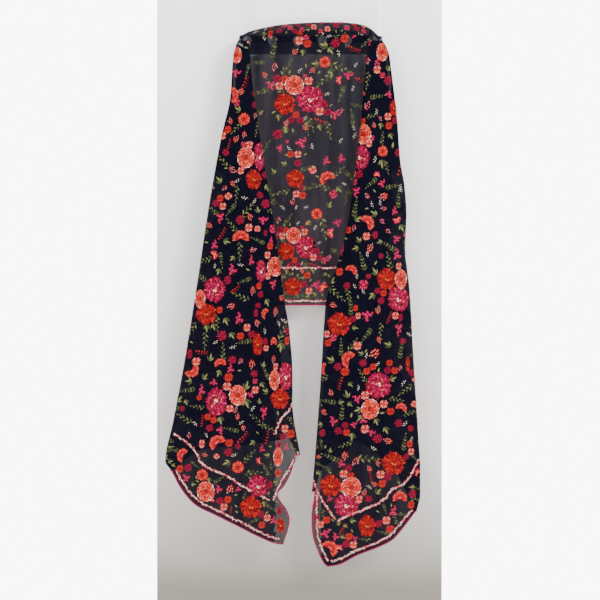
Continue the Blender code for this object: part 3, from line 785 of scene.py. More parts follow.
PHLOX_STARS = {
    "x": (0.0, 0.5, -0.48, 0.2, -0.35, 0.1),
    "y": (0.15, 0.35, 0.4, -0.45, -0.25, -0.88),
    "size": (0.36, 0.3, 0.3, 0.3, 0.26, 0.2),
    "turn": (0, 20, 50, 30, 10, 0),
}


def phlox():
    """Loose group of small magenta stars."""
    parts = [stem(np.array([(0.0, 1.0), (0.1, 0.3), (0.0, -0.6)]), 0.05, "green")]
    for x, y, size, turn in zip(*PHLOX_STARS.values()):
        parts.append(placed(star(("magenta", "rose_pink"), "peach"), x, y, size, turn))
    return np.concatenate(parts)


BERRIES = {
    "x": (0.0, 0.42, -0.4, 0.1, 0.55, -0.5, 0.0, -0.3),
    "y": (-0.85, -0.55, -0.5, -0.3, 0.0, 0.05, 0.25, 0.6),
}


def berries(colours):
    """Spray of berries on a forked brown stem."""
    parts = []
    for index, (x, y) in enumerate(zip(*BERRIES.values())):
        parts.append(line_stitches((x * 0.35, y * 0.3 + 0.45), (x, y), 0.05, LINE, ("brown",), 0, 0.2))
        parts.append(dot(x, y, 0.19, colours[index % len(colours)], 1, 0.5))
        parts.append(line_stitches((x - 0.06, y + 0.2), (x + 0.06, y + 0.28), 0.11, LEAF, ("cream",), 1, 0.3))
    parts.append(stem(np.array([(0.0, 1.0), (0.0, 0.5), (0.0, 0.1)]), 0.06, "brown"))
    return np.concatenate(parts)


def berry_spray():
    """Long curved spray with berries in turn on its two sides."""
    points = arc_points(10, 2.0, 0.7)
    parts = [stem(points, 0.045, "brown")]
    for index, (x, y) in enumerate(points[1:]):
        way = 1 if index % 2 else -1
        colour = ("orange", "red", "coral", "crimson")[index % 4]
        reach = 0.26 - 0.012 * index
        parts.append(dot(x + way * reach, y - 0.06, 0.14 - 0.005 * index, colour, 0, 0.5))
    return np.concatenate(parts)


def leaf_blade(x, y, turn, length, width=0.42, pale=True):
    """One leaf from its foot, darker on one half."""
    shade = "light_green" if pale else "dark_green"
    blade = line_stitches((0, 0), (0, -1.0), width, LEAF, ("green",), 0, 0.45)
    half = line_stitches((0.07, -0.12), (0.05, -0.92), width * 0.45, LEAF, (shade,), 1, 0.3)
    return placed(np.concatenate([blade, half]), x, y, length, turn)


def leaf_group():
    """Three leaves from one foot."""
    return np.concatenate([
        leaf_blade(0, 0.7, 40, 1.3, 0.36, False),
        leaf_blade(0, 0.7, -36, 1.25, 0.36),
        leaf_blade(0, 0.6, 2, 1.7, 0.34),
    ])


def twig():
    """Curved stem with loose leaves in turn on its two sides."""
    points = arc_points(8, 2.6, 0.7)
    parts = [stem(points, 0.05, "green")]
    for index, (x, y) in enumerate(points[:-1]):
        way = 1 if index % 2 else -1
        parts.append(leaf_blade(x, y, way * 44 - 16, 0.80 - 0.05 * index, 0.36, index % 3 > 0))
    parts.append(leaf_blade(*points[-1], -28, 0.46, 0.42))
    return np.concatenate(parts)


def fern():
    """Bent stem with open pairs of leaves that shorten towards its tip."""
    points = arc_points(6, 2.5, 0.4)
    parts = [stem(points, 0.05, "green")]
    for index, (x, y) in enumerate(points[:-1]):
        for way in (-1, 1):
            length = 0.68 - 0.07 * index
            parts.append(leaf_blade(x, y, way * 44 - 10, length, 0.36, (index + way) % 2 == 0))
    parts.append(leaf_blade(*points[-1], -12, 0.42, 0.44))
    return np.concatenate(parts)


WHITE_KNOTS = (
    (0.46, -1.20, 0.10), (0.10, -0.84, 0.12), (0.50, -0.52, 0.11), (-0.10, -0.18, 0.12), (0.30, 0.20, 0.10),
)


def white_sprig():
    """Tiny pale knots loosely set round a fine stem."""
    parts = [stem(arc_points(4, 1.7, 0.25), 0.05, "light_green")]
    for x, y, radius in WHITE_KNOTS:
        parts.append(dot(x, y, radius, "cream", 1, 0.4))
    return np.concatenate(parts)


MOTIFS = {
    "peach_rose": peach_rose(),
    "magenta_rose": magenta_rose(),
    "flame_rose": flame_rose(),
    "blush": daisy(("peach", "blush", "coral"), "cream", "red_orange"),
    "orange": daisy(("orange", "coral", "red_orange"), "peach", "red"),
    "crimson": daisy(("crimson", "red", "magenta"), "rose_pink", "deep"),
    "magenta": daisy(("magenta", "rose_pink", "crimson"), "blush", "peach"),
    "pinwheel": pinwheel(),
    "fan": fan(),
    "half_rose": half_rose(),
    "phlox": phlox(),
    "orange_berries": berries(("orange", "red_orange", "coral")),
    "red_berries": berries(("crimson", "rose_pink", "red")),
    "spray": berry_spray(),
    "leaf": leaf_blade(0, 0.6, 0, 1.35),
    "leaves": leaf_group(),
    "twig": twig(),
    "fern": fern(),
    "white": white_sprig(),
}

# Groups that the pattern repeats, by motif: x and y in millimetres from the main flower, size, turn
BOUQUET = {
    "twig": ((-44, 12, 15, 70), (-22, -47, 13, -20), (44, 90, 13, 215)),
    "fern": ((-80, 20, 16, 118),),
    "leaf": (
        (-49, 66, 10, 120), (-30, -29, 9, 30), (-12, -31, 9, -20), (88, 50, 8, -40), (90, 76, 8, 190),
        (-3, 110, 9, 190),
    ),
    "leaves": ((-38, 78, 10, 175), (62, 102, 10, 190), (-21, 106, 10, 160)),
    "spray": ((62, 84, 15, -82),),
    "orange_berries": ((-71, -24, 9, 40), (44, -35, 9, -30), (-20, 92, 9, 180), (27, 101, 10, 180)),
    "red_berries": ((-48, -44, 11, 10), (112, 62, 8, -60)),
    "phlox": ((-57, 0, 14, 70), (100, 72, 14, -70)),
    "magenta": ((26, -22, 6, 0),),
    "crimson": ((-42, -17, 10, 0), (73, 47, 10.5, 0), (82, 66, 9.5, 0), (-8, 84, 9, 0), (15, 86, 9, 0)),
    "orange": ((-24, -15, 9, 0), (4, 72, 9, 0)),
    "blush": ((-36, 2, 11, 0), (35, -10, 11, 0), (62, 64, 11, 0)),
    "white": ((10, -33, 8, -30), (76, 23, 8, -50), (29, 78, 7, 160)),
    "flame_rose": ((-23, 46, 26, 20),),
    "magenta_rose": ((39, 34, 33, 0),),
    "peach_rose": ((0, 0, 23, 0),),
}
GARLAND = {
    "fern": ((32, 22, 14, -75),),
    "twig": ((-30, 40, 15, 120), (24, -28, 12, -50)),
    "leaves": ((-28, -38, 10, 60),),
    "phlox": ((16, -92, 17, -35),),
    "white": ((-14, -74, 8, 50), (5, 70, 7, 175)),
    "leaf": ((-22, -60, 9, 70), (26, -62, 8, -50)),
    "orange": ((-12, -62, 9, 0), (19, 43, 10, 0)),
    "blush": ((7, -62, 9.5, 0), (3, 39, 9.5, 0)),
    "crimson": ((7, -40, 10, 0), (17, 24, 9, 0)),
    "red_berries": ((-6, 58, 10, 190),),
    "flame_rose": ((0, 0, 23, 0),),
}
POSY = {
    "leaves": ((-24, 5, 12, 80), (16, 26, 12, 200)),
    "twig": ((38, 6, 20, -95), (8, 46, 19, 150)),
    "leaf": ((-14, 26, 9, 140),),
    "phlox": ((60, 34, 14, -60),),
    "spray": ((92, 42, 17, -75),),
    "fern": ((46, 80, 15, 170),),
    "white": ((76, 10, 8, -20), (74, 64, 8, 175)),
    "half_rose": ((38, 46, 11, 90),),
    "pinwheel": ((0, 0, 15, 0),),
}
FAN_GROUP = {
    "twig": ((-24, 14, 15, 60), (26, -6, 14, -60)),
    "leaves": ((12, 34, 11, 190),),
    "blush": ((-20, -38, 10, 0),),
    "magenta": ((-6, 38, 11, 0),),
    "phlox": ((20, -40, 12, -20),),
    "leaf": ((-18, -18, 8, 40),),
    "white": ((28, 26, 7, -130),),
    "fan": ((0, 0, 19, 0),),
}
TRIO = {
    "leaves": ((18, 12, 10, -120),),
    "leaf": ((-20, 4, 9, 80),),
    "white": ((-12, -20, 7, 30),),
    "phlox": ((0, 34, 13, 180),),
    "orange": ((0, -9, 9.5, 0),),
    "crimson": ((-10, 8, 9.5, 0),),
    "blush": ((10, 9, 9.5, 0),),
}
GROUPS = {"BOUQUET": BOUQUET, "GARLAND": GARLAND, "POSY": POSY, "FAN_GROUP": FAN_GROUP, "TRIO": TRIO}

# Flowers placed one by one, by motif or group: x and y in picture pixels, size in millimetres or a group's
# scale, then turn and squeeze, which are 0 and 1 where a row leaves them out
MIDDLE_FLOWERS = {
    "BOUQUET": ((294.2, 82.3, 1), (293.5, 234.5, 0.84, 0, 0.92)),
    "GARLAND": ((295, 177, 0.95),),
    "POSY": ((325.2, 59, 0.95),),
    "FAN_GROUP": ((328, 178, 1, 30),),
    "fern": (
        (272, 46, 17, -5), (352, 117, 15, 20), (308, 124, 14, 200), (281, 292, 14, 40), (300, 295, 12, -60),
    ),
    "pinwheel": ((317, 213, 14, 10),),
    "twig": ((326, 224, 20, -150), (270, 198, 14, 30), (331, 126, 15, -150)),
    "leaves": (
        (309, 222, 10, 120), (303, 49, 10, 170), (324.5, 42, 13, 75), (331, 47, 12, -150),
        (285, 128, 11, -30),
    ),
    "half_rose": ((332, 232, 12, 90), (324, 288, 13, 40)),
    "phlox": ((338, 222, 12, -40), (342, 157, 12, 20), (316, 285, 13, -30)),
    "blush": ((299.3, 37.2, 11), (309, 291, 9)),
    "magenta": ((306, 32.6, 10), (287, 139.5, 5)),
    "orange": ((307.6, 40.4, 10.5), (345.2, 35.2, 11), (307.4, 275, 9)),
    "orange_berries": ((295, 48, 10, 150),),
    "crimson": ((336, 39.8, 12), (277.5, 132, 13), (304, 284, 9)),
    "spray": ((354, 44, 15, -85),),
    "white": ((321, 48.5, 7, 90), (339, 48, 9, -150), (312, 146, 8, 20), (340, 140, 8, -20)),
    "flame_rose": ((292.6, 286.5, 22),),
}
LEFT_FLOWERS = {
    "blush": (
        (250.3, 36.7, 13, 0, 0.9), (222.6, 135, 10, 0, 0.8), (249.6, 145, 10, 0, 0.9),
        (241, 171, 9.5, 0, 0.9), (222.6, 206, 9.5, 0, 0.9), (249, 228, 10.5, 0, 0.9),
        (267.4, 255, 9.5, 0, 0.8), (268, 276, 9, 0, 0.8), (247, 327.5, 10, 0, 0.9),
    ),
    "magenta": (
        (256.7, 42.3, 7), (236.7, 102, 10, 0, 0.8), (243.6, 144.4, 7), (267.4, 156, 9.5, 0, 0.7),
        (273, 228.6, 11.5, 0, 0.85),
    ),
    "leaf": ((257.8, 53.7, 12, 200, 0.8),),
    "fern": ((247.8, 68.7, 13, 170, 0.7), (222, 259, 14, -160, 0.8)),
    "peach_rose": (
        (236, 53, 20, 40, 0.6), (245.8, 158, 25, 20, 0.78), (275, 266.6, 23, 10, 0.82),
        (199.8, 299, 22, 0, 0.55),
    ),
    "spray": (
        (243, 82, 18, 0, 0.8), (228, 144, 12, 10, 0.8), (220.5, 234, 16, -10, 0.8),
        (234, 289, 14, -30, 0.8),
    ),
    "fan": ((232, 94, 19, -80, 0.8), (241, 239, 20), (265.6, 314, 13, 60, 0.8)),
    "orange_berries": (
        (240.5, 91, 11, -80, 0.8), (244.4, 135, 9, 0, 0.9), (233, 183.6, 9, 60, 0.9),
        (272.5, 174, 11, 180, 0.8), (250.4, 217.5, 10, 30, 0.9), (231, 306.5, 11, -60, 0.9),
        (253, 291, 12, 0, 0.7), (275.6, 312, 12, 0, 0.7),
    ),
    "leaves": (
        (238, 109, 12, 60, 0.8), (219, 180, 12, 40, 0.9), (267, 187, 12, 200, 0.8),
        (267, 302, 12, 200, 0.7),
    ),
    "crimson": (
        (254.5, 92, 9, 0, 0.7), (254.5, 104, 9, 0, 0.7), (265, 174.4, 9.5, 0, 0.8),
        (265.6, 203.6, 12, 0, 0.9), (215.6, 203, 9.5, 0, 0.9), (240.4, 220, 12, 0, 0.9),
        (265.4, 233, 8, 0, 0.6), (227.6, 280, 11.5, 0, 0.8), (260.5, 294.5, 9, 0, 0.8),
        (256, 313, 10, 0, 0.6),
    ),
    "red_berries": ((255, 115, 9, 0, 0.7), (233, 170, 12, 90, 0.8)),
    "twig": (
        (258.5, 128, 13, 180, 0.7), (239, 128, 14, 150, 0.9), (223, 165, 17, 60, 0.9),
        (238.5, 193, 14, 190, 0.8), (212, 212, 13, 70, 0.8), (246, 209, 18, -30, 0.8),
        (231, 228, 15, 60, 0.8), (242, 250, 15, 195, 0.9), (206, 262, 15, 120, 0.8),
        (219, 322, 13, 200, 0.9),
    ),
    "pinwheel": ((244, 119, 15.5, 20, 0.95),),
    "orange": (
        (227.6, 129, 10, 0, 0.9), (220, 198, 9.5, 0, 0.9), (270, 246, 9.5, 0, 0.85),
        (219.6, 310, 9, 0, 0.9), (259, 286, 9, 0, 0.8),
    ),
    "flame_rose": ((253.6, 179.5, 24, 0, 0.8), (206, 314, 26, 20, 0.98)),
    "magenta_rose": ((259.5, 156, 34, 30, 0.42), (261, 271, 27, 20, 0.45), (214.4, 289.5, 31, 40, 0.86)),
    "white": ((255.5, 200, 8, 160, 0.9),),
    "phlox": (
        (220, 217, 15, 180, 0.8), (214.4, 245, 13, 0, 0.8), (271, 240, 9, 0, 0.7), (273, 284, 13, 190, 0.8),
        (232.4, 270, 15, 20, 0.9), (251.5, 261, 14, 10, 0.6), (239, 319, 16, 10, 0.8),
    ),
    "half_rose": ((213.4, 255, 11.5, -60, 0.9),),
}
RIGHT_FLOWERS = {
    "peach_rose": (
        (383, 50, 22, 30, 0.62), (363.5, 134.2, 24, -20, 0.74), (401.3, 279.2, 23, 0, 0.6),
        (370.3, 409.2, 24, 160, 0.92), (351, 487, 24, -40),
    ),
    "phlox": (
        (377.8, 60.3, 11, 0, 0.8), (382, 183.3, 12, -30, 0.9), (356, 191, 14, 180, 0.9),
        (341.5, 248.5, 17, 190, 0.5), (395, 211, 12, 10, 0.8), (397.5, 255, 15, 10, 0.8),
        (399, 329, 18, 180, 0.6), (367, 315.5, 17, -60, 0.9), (357, 398.5, 13, 70, 0.9),
        (333.5, 421.5, 14, 40, 0.9), (363.5, 420, 12), (371.7, 433.3, 11, -70), (341.4, 463.6, 11, 20),
        (325.7, 534, 14, -30), (335.7, 537, 11, 30), (393.6, 512, 15, -10, 0.8),
    ),
    "blush": (
        (377.8, 67.8, 11, 0, 0.85), (388.3, 115.8, 10, 0, 0.9), (369, 143.5, 10, 0, 0.8),
        (353.5, 173.5, 9, 0, 0.6), (366.3, 236.5, 10, 0, 0.95), (399, 266, 9, 0, 0.8),
        (395.8, 315.8, 9.5, 0, 0.9), (358, 315.8, 8.5, 0, 0.8), (327, 334.2, 9.5, 0, 0.8),
        (357.2, 345.8, 10.5), (365, 395.3, 11), (384.2, 404.7, 10.5), (365, 429.2, 11), (380.7, 475, 10.5),
        (411.4, 452, 9, 0, 0.9), (343.6, 473.6, 10.5), (359.2, 499.6, 10, 0, 0.9), (320.4, 525, 9.5),
        (353.4, 544.8, 9.5), (386.4, 520.5, 10.5),
    ),
    "magenta": (
        (383, 73.7, 8, 0, 0.9), (372.5, 137.8, 7, 0, 0.8), (354.5, 181.5, 9, 0, 0.8),
        (363.3, 284.7, 13, 0, 0.9), (333.3, 337.8, 9.5),
    ),
    "crimson": (
        (388.5, 79, 12, 0, 0.8), (395.3, 119.5, 9.5, 0, 0.8), (352.5, 136, 8, 0, 0.7),
        (398, 152, 10, 0, 0.7), (359.5, 174, 11, 0, 0.8), (375, 235, 10, 0, 0.8), (347, 285.8, 9.5, 0, 0.9),
        (377.5, 290.8, 8), (381.3, 300.8, 9), (400.8, 317.5, 10, 0, 0.6), (352.5, 319.2, 9),
        (337.8, 366.7, 10, 0, 0.95), (362.8, 362.8, 9.5), (388, 370.8, 9), (412, 373, 9, 0, 0.8),
        (398.8, 423.3, 10, 0, 0.95), (338.3, 430.8, 9.5), (345, 425, 8.5), (322.5, 433.3, 10, 0, 0.8),
        (387.8, 477.5, 10), (406.4, 457, 8, 0, 0.9), (377.9, 439.3, 12), (348.6, 467.9, 9),
        (313.6, 505.7, 12, 0, 0.6), (316.4, 518, 9, 0, 0.9), (346.4, 544, 10), (378.6, 524, 9.5),
        (412.9, 494.5, 11, 0, 0.9),
    ),
    "twig": (
        (370, 78, 15, 185, 0.8), (371, 114, 12, -60, 0.8), (381, 139, 11, 10, 0.9),
        (388, 165, 12, 215, 0.9), (383, 330, 14, 190, 0.9), (350, 345, 14, -20, 0.9),
        (361.5, 378, 13, 50, 0.9), (409, 411.7, 13, -60, 0.9), (365, 456.4, 20, -75),
    ),
    "fern": (
        (377, 94.5, 15, -70, 0.9), (372.5, 183.5, 14, 140, 0.9), (354, 208, 17, 0, 0.9),
        (397.5, 200, 15, 10, 0.9), (389, 247.5, 16, 70, 0.9), (349.7, 307.5, 15, 10, 0.9),
        (340, 348.3, 15, 10, 0.9), (400, 350.5, 16, 0, 0.9), (340.8, 411.7, 16, 5, 0.9),
        (330.7, 459, 16, 80), (403.5, 443, 15, 0, 0.9),
    ),
    "red_berries": (
        (367.5, 105, 13, 170, 0.8), (380.5, 118, 7, 60, 0.9), (354, 228, 9, 0, 0.8),
        (400.5, 368, 8, 0, 0.8), (355.5, 461.5, 12, -20),
    ),
    "flame_rose": (
        (394.5, 107, 20, 0, 0.55), (387, 279.2, 27, 0, 0.88), (339.2, 324.2, 28), (408, 364.5, 18, 0, 0.3),
        (393.6, 463.6, 28), (330.7, 485.7, 26), (367, 526, 26, 0, 0.8),
    ),
    "orange": (
        (389.2, 125, 10, 0, 0.9), (363, 121, 8.5, 0, 0.8), (348.3, 230, 9, 0, 0.9),
        (339.5, 271.7, 10.5, 0, 0.9), (383.8, 293.3, 8.5), (355.5, 308, 8, 0, 0.8),
        (328.3, 343, 9.5, 0, 0.9), (345, 371.7, 11), (373.3, 367, 9), (366.7, 371.2, 9.5),
        (390, 363.3, 8.5), (395, 370.8, 9), (390.8, 411.7, 9.5), (346.3, 432.2, 9), (382.4, 484, 10),
        (410, 444.3, 9, 0, 0.9), (351, 475.4, 8), (326.7, 520.2, 9.5), (349, 536.6, 9.5), (390, 529.2, 10),
        (411.4, 505.5, 10, 0, 0.9),
    ),
    "leaves": (
        (381, 125, 10, 170, 0.9), (382, 163, 13, 185, 0.9), (357.5, 219, 12, -60, 0.9),
        (375, 272, 12, 30, 0.9), (372, 296, 12, 130, 0.9), (331, 360, 13, 60, 0.9),
        (393, 379, 11, -70, 0.9), (358, 410, 12, 100, 0.9), (360, 418, 11, 130, 0.9),
        (376.7, 422, 11, 200, 0.9), (352, 436, 12, 170, 0.9),
    ),
    "magenta_rose": (
        (360.3, 157, 30, -30, 0.76), (399, 299, 31, -30, 0.85), (378.7, 385.8, 32, 150, 0.98),
        (346.6, 505, 30, -20),
    ),
    "pinwheel": ((383, 150.8, 13.5, 0, 0.95),),
    "leaf": ((393, 145, 13, -10, 0.8), (345.8, 238.5, 10, 80, 0.9), (382.5, 413.5, 11, -80, 0.9)),
    "spray": (
        (399.5, 168, 20, 5, 0.7), (388.5, 318.3, 14, 0, 0.8), (341.7, 382.5, 15, 190, 0.9),
        (370.5, 478, 11, 40, 0.8), (341, 530, 13),
    ),
    "half_rose": (
        (377, 175, 9, 0, 0.9), (397, 219, 11, 200, 0.9), (338.9, 548.8, 10), (418, 473.5, 10, 40, 0.7),
    ),
    "orange_berries": (
        (383.5, 196.5, 13, -60, 0.9), (370, 247.5, 13, 160, 0.8), (378, 309.7, 11, 180, 0.9),
        (333.5, 305, 10, 90, 0.9), (374.5, 354, 16, -50, 0.9), (324.5, 412.5, 10, 70, 0.8),
        (387.9, 441.4, 11, -90), (345, 455.7, 11, 10),
    ),
    "fan": (
        (366.5, 223.5, 19, -50, 0.95), (351, 271, 14, -30), (349.5, 360, 20, 60, 0.95),
        (324.5, 369, 14, 80, 0.6), (401.3, 409, 14, -20, 0.95), (329.3, 549.5, 20, -50),
        (400, 499.5, 19, 0, 0.9),
    ),
}
LEFT_LOW_FLOWERS = {
    "leaves": (
        (206.5, 328, 11, 180, 0.9), (213.5, 326.5, 11, 200, 0.9), (226, 321, 12, 200, 0.9),
        (281, 347, 14, 170, 0.9), (189, 381.4, 11, 90, 0.9), (219, 373, 11, 150, 0.9),
        (246.4, 386, 13, -20, 0.9), (246.5, 403, 14, 200), (220.5, 420, 12, 190, 0.9),
        (265.5, 391.5, 11, 60, 0.8), (227, 463, 12, 110),
    ),
    "crimson": (
        (221.9, 335.7, 13, 0, 0.95), (251.7, 334.3, 9.5), (265, 341.4, 9, 0, 0.8),
        (287.5, 331.4, 10, 0, 0.7), (189.3, 354.3, 12, 0, 0.6), (232.4, 360, 10.5), (254.3, 373.9, 9),
        (209.7, 427.9, 9.5), (228.6, 452.3, 10.5), (269.6, 485, 9, 0, 0.9), (283.6, 437, 10, 0, 0.9),
        (279, 445, 9.5, 0, 0.8), (188, 468, 10.5, 0, 0.9), (220, 501, 9.5), (261, 514.6, 9),
        (279.5, 511, 12, 0, 0.7),
    ),
    "white": ((217, 342, 8, 130, 0.9),),
    "orange": (
        (240.4, 336, 9.5), (287, 341, 11, 0, 0.6), (228.6, 377.4, 11), (199, 398, 7), (207.6, 416.9, 8.5),
        (213.6, 420, 8.5), (229.2, 443, 10), (290.8, 434.3, 11, 0, 0.9), (278.2, 473.4, 11, 0, 0.7),
        (179.6, 469.3, 10, 0, 0.9), (227.9, 499.5, 9.5), (261.7, 525.2, 9),
    ),
    "fern": ((245, 343, 15, 110, 0.9), (188, 391.5, 15, 110, 0.9), (265, 373.5, 14, 40, 0.8)),
    "flame_rose": (
        (257.6, 344.3, 26, 0, 0.48), (279.7, 399, 25, 0, 0.9), (250.8, 507.2, 26),
        (280.5, 526, 18, 0, 0.55),
    ),
    "blush": (
        (266, 348.3, 8, 0, 0.9), (196, 361.7, 10.5), (227, 386.4, 10.5), (255.4, 390, 10, 0, 0.9),
        (229.7, 408.6, 9.5), (275.7, 366.6, 9, 0, 0.7), (201.8, 444, 11, 0, 0.7), (284.8, 429, 10, 0, 0.9),
        (223.9, 507, 9.5), (267.2, 518.2, 9),
    ),
    "fan": (
        (273.8, 343.6, 15, 0, 0.5), (191, 370, 18, -140), (220.4, 364.3, 14, 10), (217.9, 443.5, 20, 35),
        (183, 456, 17, 60, 0.9),
    ),
    "twig": (
        (280, 333, 18, -10, 0.8), (221.4, 353, 14, 20, 0.9), (184.5, 421.5, 15, 80, 0.9),
        (256.5, 423, 15, 70, 0.9), (252, 471, 14, -70), (247, 456, 14, -30, 0.9),
    ),
    "spray": (
        (200.5, 351, 15, -70, 0.9), (201, 422, 13, 20, 0.8), (241, 437.5, 17, -20, 0.9),
        (266, 438.5, 15, 10, 0.7), (231.6, 509.5, 9, 200),
    ),
    "phlox": (
        (230.5, 369, 12, 10, 0.9), (250.7, 394.5, 11, 90, 0.9), (201.4, 391, 15, 10, 0.7),
        (263.8, 412, 18, 180, 0.6), (262, 449, 11, 10, 0.8), (286.4, 447.5, 11, 0, 0.8),
        (185.6, 478.5, 13, 160, 0.9), (218.8, 489.3, 11, 30), (273.6, 521, 11),
    ),
    "orange_berries": (
        (252, 364.5, 12, 10, 0.9), (237.5, 416.5, 9, 180, 0.8), (273.6, 359.5, 10, 0, 0.7),
        (230, 489.5, 12, -20),
    ),
    "magenta": ((255, 381.4, 7),),
    "magenta_rose": ((216.4, 402, 35, 210, 0.74), (285.8, 376.6, 34, 0, 0.52), (258.5, 486.5, 27)),
    "peach_rose": (
        (237.6, 395.3, 24, 0, 0.84), (274.4, 380, 24, 0, 0.5), (278, 457, 22, 0, 0.5),
        (205.9, 491.6, 24, 30, 0.88),
    ),
    "red_berries": ((235.5, 410, 9, 180, 0.9),),
    "leaf": ((278, 413, 10, 190, 0.9),),
    "pinwheel": ((238, 467.2, 15), (202.2, 475, 14.5)),
    "half_rose": ((259.3, 461, 9.5, 100, 0.9), (212.4, 498.6, 9, 120, 0.8)),
}

# Lines of lace on the front leaves, in picture pixels; the inner one also ends the half-sheer cloth that is
# painted shade
LEFT_LACE = {
    "inner": {"x": (174, 195, 201, 226, 247, 270), "y": (434, 451, 463, 475.5, 489, 501)},
    "flap_inner": {"x": (275, 279.5, 289, 294.5), "y": (434, 422, 410, 402)},
    "flap_outer": {"x": (274, 279.5, 288, 299), "y": (500, 485, 471, 452)},
}
RIGHT_LACE = {
    "inner": {"x": (419, 413, 405, 391, 386, 371, 352, 337), "y": (461, 472, 483, 491, 498, 507, 514, 521)},
    "side": {"x": (313, 319, 326, 335), "y": (481, 495, 506, 519.5)},
}

# Seeded filling: motif or group, how often it comes, size in millimetres or a group's scale
FILLERS = (
    ("twig", 0.25, 14), ("fern", 0.20, 14), ("leaves", 0.18, 10), ("white", 0.09, 8), ("phlox", 0.07, 12),
    ("orange_berries", 0.07, 9), ("red_berries", 0.05, 9), ("crimson", 0.04, 8), ("blush", 0.02, 8),
    ("leaf", 0.03, 9),
)
BORDER_FILLERS = (
    ("leaves", 0.24, 8), ("leaf", 0.18, 7), ("twig", 0.26, 9), ("fern", 0.22, 9), ("orange_berries", 0.05, 7),
    ("phlox", 0.05, 8),
)
MAIN_MOTIFS = (
    ("magenta_rose", 0.20, 31), ("peach_rose", 0.22, 23), ("flame_rose", 0.22, 26), ("fan", 0.12, 18),
    ("pinwheel", 0.12, 14), ("TRIO", 0.12, 1.0),
)
LACE_SPREAD = 4.0
LACE_STEP = 3.5
LACE_EDGE_WIDTH = 1.1
LACE_SHIFT_ACROSS = 1.8
LACE_SHIFT_ALONG = 1.0
LACE_SIZES = (1.8, 3.0)
LACE_COLOURS = (
    ("blush", "cream"), ("cream", "rose_pink"), ("peach", "cream"), ("rose_pink", "blush"),
    ("cream", "crimson"),
)
LACE_HEARTS = ("coral", "crimson", "deep")
# How much of its size a motif fills round its middle, 1 where it isn't listed, and a group in millimetres
REACH = {"twig": 0.95, "fern": 0.95, "white": 0.7, "leaves": 0.85, "leaf": 0.6, "spray": 0.8}
GROUP_REACH = 22.0
FILLER_GROWTH = (0.85, 1.15)
FILLER_MARGIN = 2.0
NEIGHBOUR_SHARE = 0.92


class Embroidery:
    """Stitches gathered for one sheet, with the circles that they already fill."""

    def __init__(self, seed):
        self.rng = np.random.default_rng(seed)
        self.parts = []
        self.circles = []

    def add(self, name, x, y, size, turn=0, squeeze=1.0):
        """Place a motif or a group at x and drop in millimetres."""
        if name not in GROUPS:
            self.parts.append(placed(MOTIFS[name], x, y, size, turn, squeeze))
            self.circles.append((x, y, size * REACH.get(name, 1.0)))
            return
        angle = math.radians(turn)
        for part, rows in GROUPS[name].items():
            for across, down, part_size, part_turn in rows:
                part_x = (across * math.cos(angle) + down * math.sin(angle)) * size * squeeze
                part_y = (down * math.cos(angle) - across * math.sin(angle)) * size
                self.add(part, x + part_x, y + part_y, part_size * size, turn + part_turn, squeeze)

    def add_table(self, table):
        """Place the flowers of a table read in picture pixels."""
        for name, rows in table.items():
            for x, y, size, *turn_squeeze in rows:
                self.add(name, x_of_pixel(x), drop_of_pixel(y), size, *turn_squeeze)

    def lace(self, x, drop):
        """Uneven line of little blossoms between two dark edges, through points in millimetres."""
        points = np.stack([x, drop], axis=-1).astype(float)
        length = np.linalg.norm(np.diff(points, axis=0), axis=1).sum()
        count = max(int(length / LACE_STEP), 2)
        line = through(points, np.linspace(0.0, 1.0, count + 1))
        ahead = np.gradient(line, axis=0)
        ahead /= np.linalg.norm(ahead, axis=1)[:, None]
        side = np.stack([-ahead[:, 1], ahead[:, 0]], axis=-1)
        for way in (-1, 1):
            edge = line + side * way * LACE_SPREAD
            self.parts.append(
                line_stitches(edge[:-1], edge[1:], LACE_EDGE_WIDTH, LINE, ("deep", "red", "deep"), 0, 0.3)
            )
        for index, (across, down) in enumerate(line[:-1]):
            colours = LACE_COLOURS[self.rng.integers(len(LACE_COLOURS))]
            shift = side[index] * self.rng.uniform(-LACE_SHIFT_ACROSS, LACE_SHIFT_ACROSS)
            shift = shift + ahead[index] * self.rng.uniform(-LACE_SHIFT_ALONG, LACE_SHIFT_ALONG)
            turn = self.rng.uniform(0, 72)
            size = self.rng.uniform(*LACE_SIZES)
            blossom = star(colours, LACE_HEARTS[index % len(LACE_HEARTS)])
            self.parts.append(placed(blossom, across + shift[0], down + shift[1], size, turn))
            if index % 3 == 0:
                self.circles.append((across, down, LACE_SPREAD + FILLER_MARGIN))

    def fill(self, region, box, fillers, tries, gap):
        """Fill the free room of a region with seeded motifs; region gives each point's distance inside."""
        names = [name for name, share, size in fillers]
        shares = np.array([share for name, share, size in fillers])
        sizes = {name: size for name, share, size in fillers}
        low_x, low_y, high_x, high_y = box
        for _ in range(tries):
            x = self.rng.uniform(low_x, high_x)
            y = self.rng.uniform(low_y, high_y)
            name = names[self.rng.choice(len(names), p=shares / shares.sum())]
            size = sizes[name] * self.rng.uniform(*FILLER_GROWTH)
            turn = self.rng.uniform(0, 360)
            radius = size * (GROUP_REACH if name in GROUPS else REACH.get(name, 1.0))
            if region(x, y) < radius + FILLER_MARGIN:
                continue
            near_x, near_y, near_radius = np.transpose(self.circles)
            distance = np.hypot(near_x - x, near_y - y)
            if np.all(distance >= near_radius * NEIGHBOUR_SHARE + radius + gap):
                self.add(name, x, y, size, turn)

    def clip(self, region):
        """Drop the stitches that reach outside a region."""
        rows = np.concatenate(self.parts)
        middle_x = (rows[:, 0] + rows[:, 2]) / 2
        middle_y = (rows[:, 1] + rows[:, 3]) / 2
        reach = np.hypot(rows[:, 2] - rows[:, 0], rows[:, 3] - rows[:, 1]) / 2
        inside = np.array([region(x, y) for x, y in zip(middle_x, middle_y)]) > reach
        self.parts = [rows[inside]]


